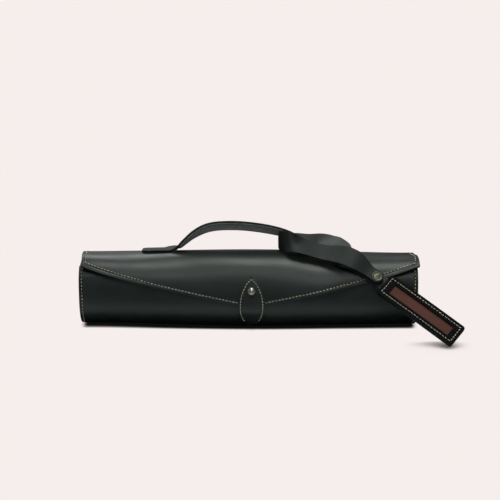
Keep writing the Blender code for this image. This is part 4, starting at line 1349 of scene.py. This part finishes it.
def tag_layer(name, low, high, materials, hole=None):
    """One leather layer of the tag, built as a frame of rings from its outline."""
    steps = 26
    outline = subdivided(rounded_outline(TAG_LENGTH, TAG_WIDTH, TAG_CORNER), steps)
    if hole:
        inner_line = subdivided(rounded_outline(*hole, TAG_WINDOW_CORNER), steps)
    else:
        inner_line = [(x * 0.02, y * 0.02) for x, y in outline]
    count = len(outline)
    rings = 9
    points, faces, indices, seam = [], [], [], []
    for level in (high, low):
        for i in range(rings + 1):
            for (x0, y0), (x1, y1) in zip(outline, inner_line):
                x, y = mix(x0, x1, i / rings), mix(y0, y1, i / rings)
                points.append(tag_surface(x, y, level))
                near = min(TAG_LENGTH / 2 - abs(x), TAG_WIDTH / 2 - abs(y))
                seam.append(near / TAG_SEAM_INSET if level == high else NO_SEAM)
    offset = (rings + 1) * count
    for i in range(rings):
        for k in range(count):
            m = (k + 1) % count
            a, b = i * count + k, i * count + m
            faces.append((a, b, b + count, a + count))
            indices.append(0)
            faces.append((offset + a, offset + a + count, offset + b + count, offset + b))
            indices.append(1)
    for k in range(count):
        m = (k + 1) % count
        faces.append((k, offset + k, offset + m, m))
        indices.append(2)
        a, b = rings * count + k, rings * count + m
        faces.append((a, b, offset + b, offset + a))
        indices.append(2)
    layer = make_object(name, points, faces, materials, indices)
    mark_seam(layer, seam)
    fix_outward(layer)
    return soften_edges(layer, 0.35 * MM)


def subdivided(outline, steps):
    """Same number of points on each side, so two outlines can be joined."""
    result = []
    quarter = len(outline) // 4
    for q in range(4):
        corner = outline[q * quarter:(q + 1) * quarter]
        result += corner
        following = outline[((q + 1) * quarter) % len(outline)]
        x0, y0 = corner[-1]
        for k in range(1, steps):
            result.append((mix(x0, following[0], k / steps), mix(y0, following[1], k / steps)))
    return result


def make_tag():
    insert = TAG_INSERT_THICK / 2
    back_low = -insert - GAP - TAG_LEATHER
    frame_high = insert + GAP + TAG_LEATHER
    back = tag_layer("tag_back_leather", -0.12 * MM, back_low, [FLESH, BLACK, EDGE])
    front = tag_layer("tag_front_frame", 0.12 * MM, frame_high, [TAG_BLACK, FLESH, EDGE],
                      (TAG_WINDOW_LENGTH, TAG_WINDOW_WIDTH))
    card_points, card_faces = [], []
    cols, rows = 60, 14
    half_length = (TAG_WINDOW_LENGTH + 5 * MM) / 2
    half_width = (TAG_WINDOW_WIDTH + 4 * MM) / 2
    for y in crowded(-half_width, half_width, rows):
        for x in crowded(-half_length, half_length, cols):
            card_points.append(tag_surface(x, y, insert))
    for i in range(rows):
        for k in range(cols):
            a = i * (cols + 1) + k
            card_faces.append((a, a + 1, a + cols + 2, a + cols + 1))
    card = make_object("tag_card", card_points, card_faces, [BROWN])
    thicken = card.modifiers.new("thickness", "SOLIDIFY")
    thicken.thickness = TAG_INSERT_THICK
    thicken.offset = -1
    apply_modifiers(card)
    length, width = TAG_LENGTH - 2 * TAG_SEAM_INSET, TAG_WIDTH - 2 * TAG_SEAM_INSET
    outline = subdivided(rounded_outline(length, width, 1.0 * MM), 20)
    points = [tag_surface(x, y, frame_high - STITCH_SINK) for x, y in outline]
    points.append(points[0])
    under = [tag_surface(x, y, back_low + STITCH_SINK) for x, y in outline]
    under.append(under[0])
    lines = [(points, [TAG_FACE] * len(points)), (under, [-TAG_FACE] * len(under))]
    thread = stitches("tag_stitching", lines, TAN, pitch=3.3 * MM, length=2.6 * MM, seed=11)
    for piece, node, slot in (
            (back, "tag_back", "black_leather"), (front, "tag_frame", "black_leather"),
            (card, "tag_insert", "brown_card"), (thread, "tag_thread", "tan_thread")):
        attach(piece, "tag")
        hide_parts(node)


# ------------------------------------------------------------ studio
def area_light(name, place, target, size, power, colour):
    light = bpy.data.lights.new(name, "AREA")
    light.shape = "RECTANGLE"
    light.size, light.size_y = size
    light.energy = power
    light.color = colour
    obj = add_to_scene(name, light)
    obj.location = place
    direction = Vector(target) - Vector(place)
    obj.rotation_euler = direction.to_track_quat("-Z", "Y").to_euler()


# Each lamp: name, place, target, size, power, colour.
LAMPS = [
    ("overhead", (0.08, -0.10, 1.25), (0.06, 0, 0.05), (0.50, 0.62), 7.6, (0.95, 1.0, 0.93)),
    ("front_soft", (0.10, -1.10, 1.02), (0, 0, 0.05), (1.1, 0.5), 5.5, (0.92, 1.0, 0.97)),
    ("rear_soft", (-0.35, 1.25, 1.0), (-0.05, 0, 0.05), (1.0, 0.6), 7.0, (0.95, 1.0, 0.97)),
    ("left_soft", (-1.5, 0.25, 0.7), (0, 0, 0.04), (0.8, 0.6), 1.3, (0.95, 1.0, 0.98)),
    ("right_soft", (1.5, 0.25, 0.7), (0, 0, 0.04), (0.8, 0.6), 1.1, (0.95, 1.0, 0.98)),
    ("low_fill", (-0.1, -1.6, 0.16), (0, 0, 0.05), (1.3, 0.30), 1.1, (0.92, 0.99, 1.0)),
]
WORLD_TONE = (0.76, 0.86, 0.88, 1)
WORLD_STRENGTH = 0.085
FLOOR_HALF = 25.0
FLOOR_LEVEL = -0.3 * MM
CAMERA_ELEVATION = math.radians(13.5)
CAMERA_DISTANCE = 1.2
CAMERA_TARGET = Vector((0.0015, 0, 0.075))
CAMERA_LENS = 86.4
CAMERA_SENSOR = 36.0


def make_floor():
    far = FLOOR_HALF
    corners = [(-far, -far, 0), (far, -far, 0), (far, far, 0), (-far, far, 0)]
    floor = make_object("floor", corners, [(0, 1, 2, 3)], [floor_material()])
    floor.location.z = FLOOR_LEVEL


def make_lights():
    world = bpy.data.worlds.new("studio")
    world.use_nodes = True
    background = world.node_tree.nodes["Background"]
    background.inputs["Color"].default_value = WORLD_TONE
    background.inputs["Strength"].default_value = WORLD_STRENGTH
    bpy.context.scene.world = world
    for lamp in LAMPS:
        area_light(*lamp)


def make_camera():
    back = Vector((0, -math.cos(CAMERA_ELEVATION), math.sin(CAMERA_ELEVATION)))
    data = bpy.data.cameras.new("camera")
    data.lens = CAMERA_LENS
    data.sensor_width = CAMERA_SENSOR
    camera = add_to_scene("camera", data)
    camera.location = CAMERA_TARGET + back * CAMERA_DISTANCE
    camera.rotation_euler = (-back).to_track_quat("-Z", "Y").to_euler()
    bpy.context.scene.camera = camera
    bpy.context.scene.view_settings.view_transform = "Standard"


make_floor()
make_lights()
make_camera()
make_body()
make_end("case_left_end", -1)
make_end("case_right_end", 1)
end_seam("left_end_stitching", -1, ("left_end_thread_front", "left_end_thread_back"))
end_seam("right_end_stitching", 1, ("right_end_thread_front", "right_end_thread_back"))
make_flap()
flap_seam("flap_left_stitching", -1, "flap_thread_left")
flap_seam("flap_right_stitching", 1, "flap_thread_right")
make_tab()
make_stud()
make_handle()
make_strap()
make_snap()
make_tag()
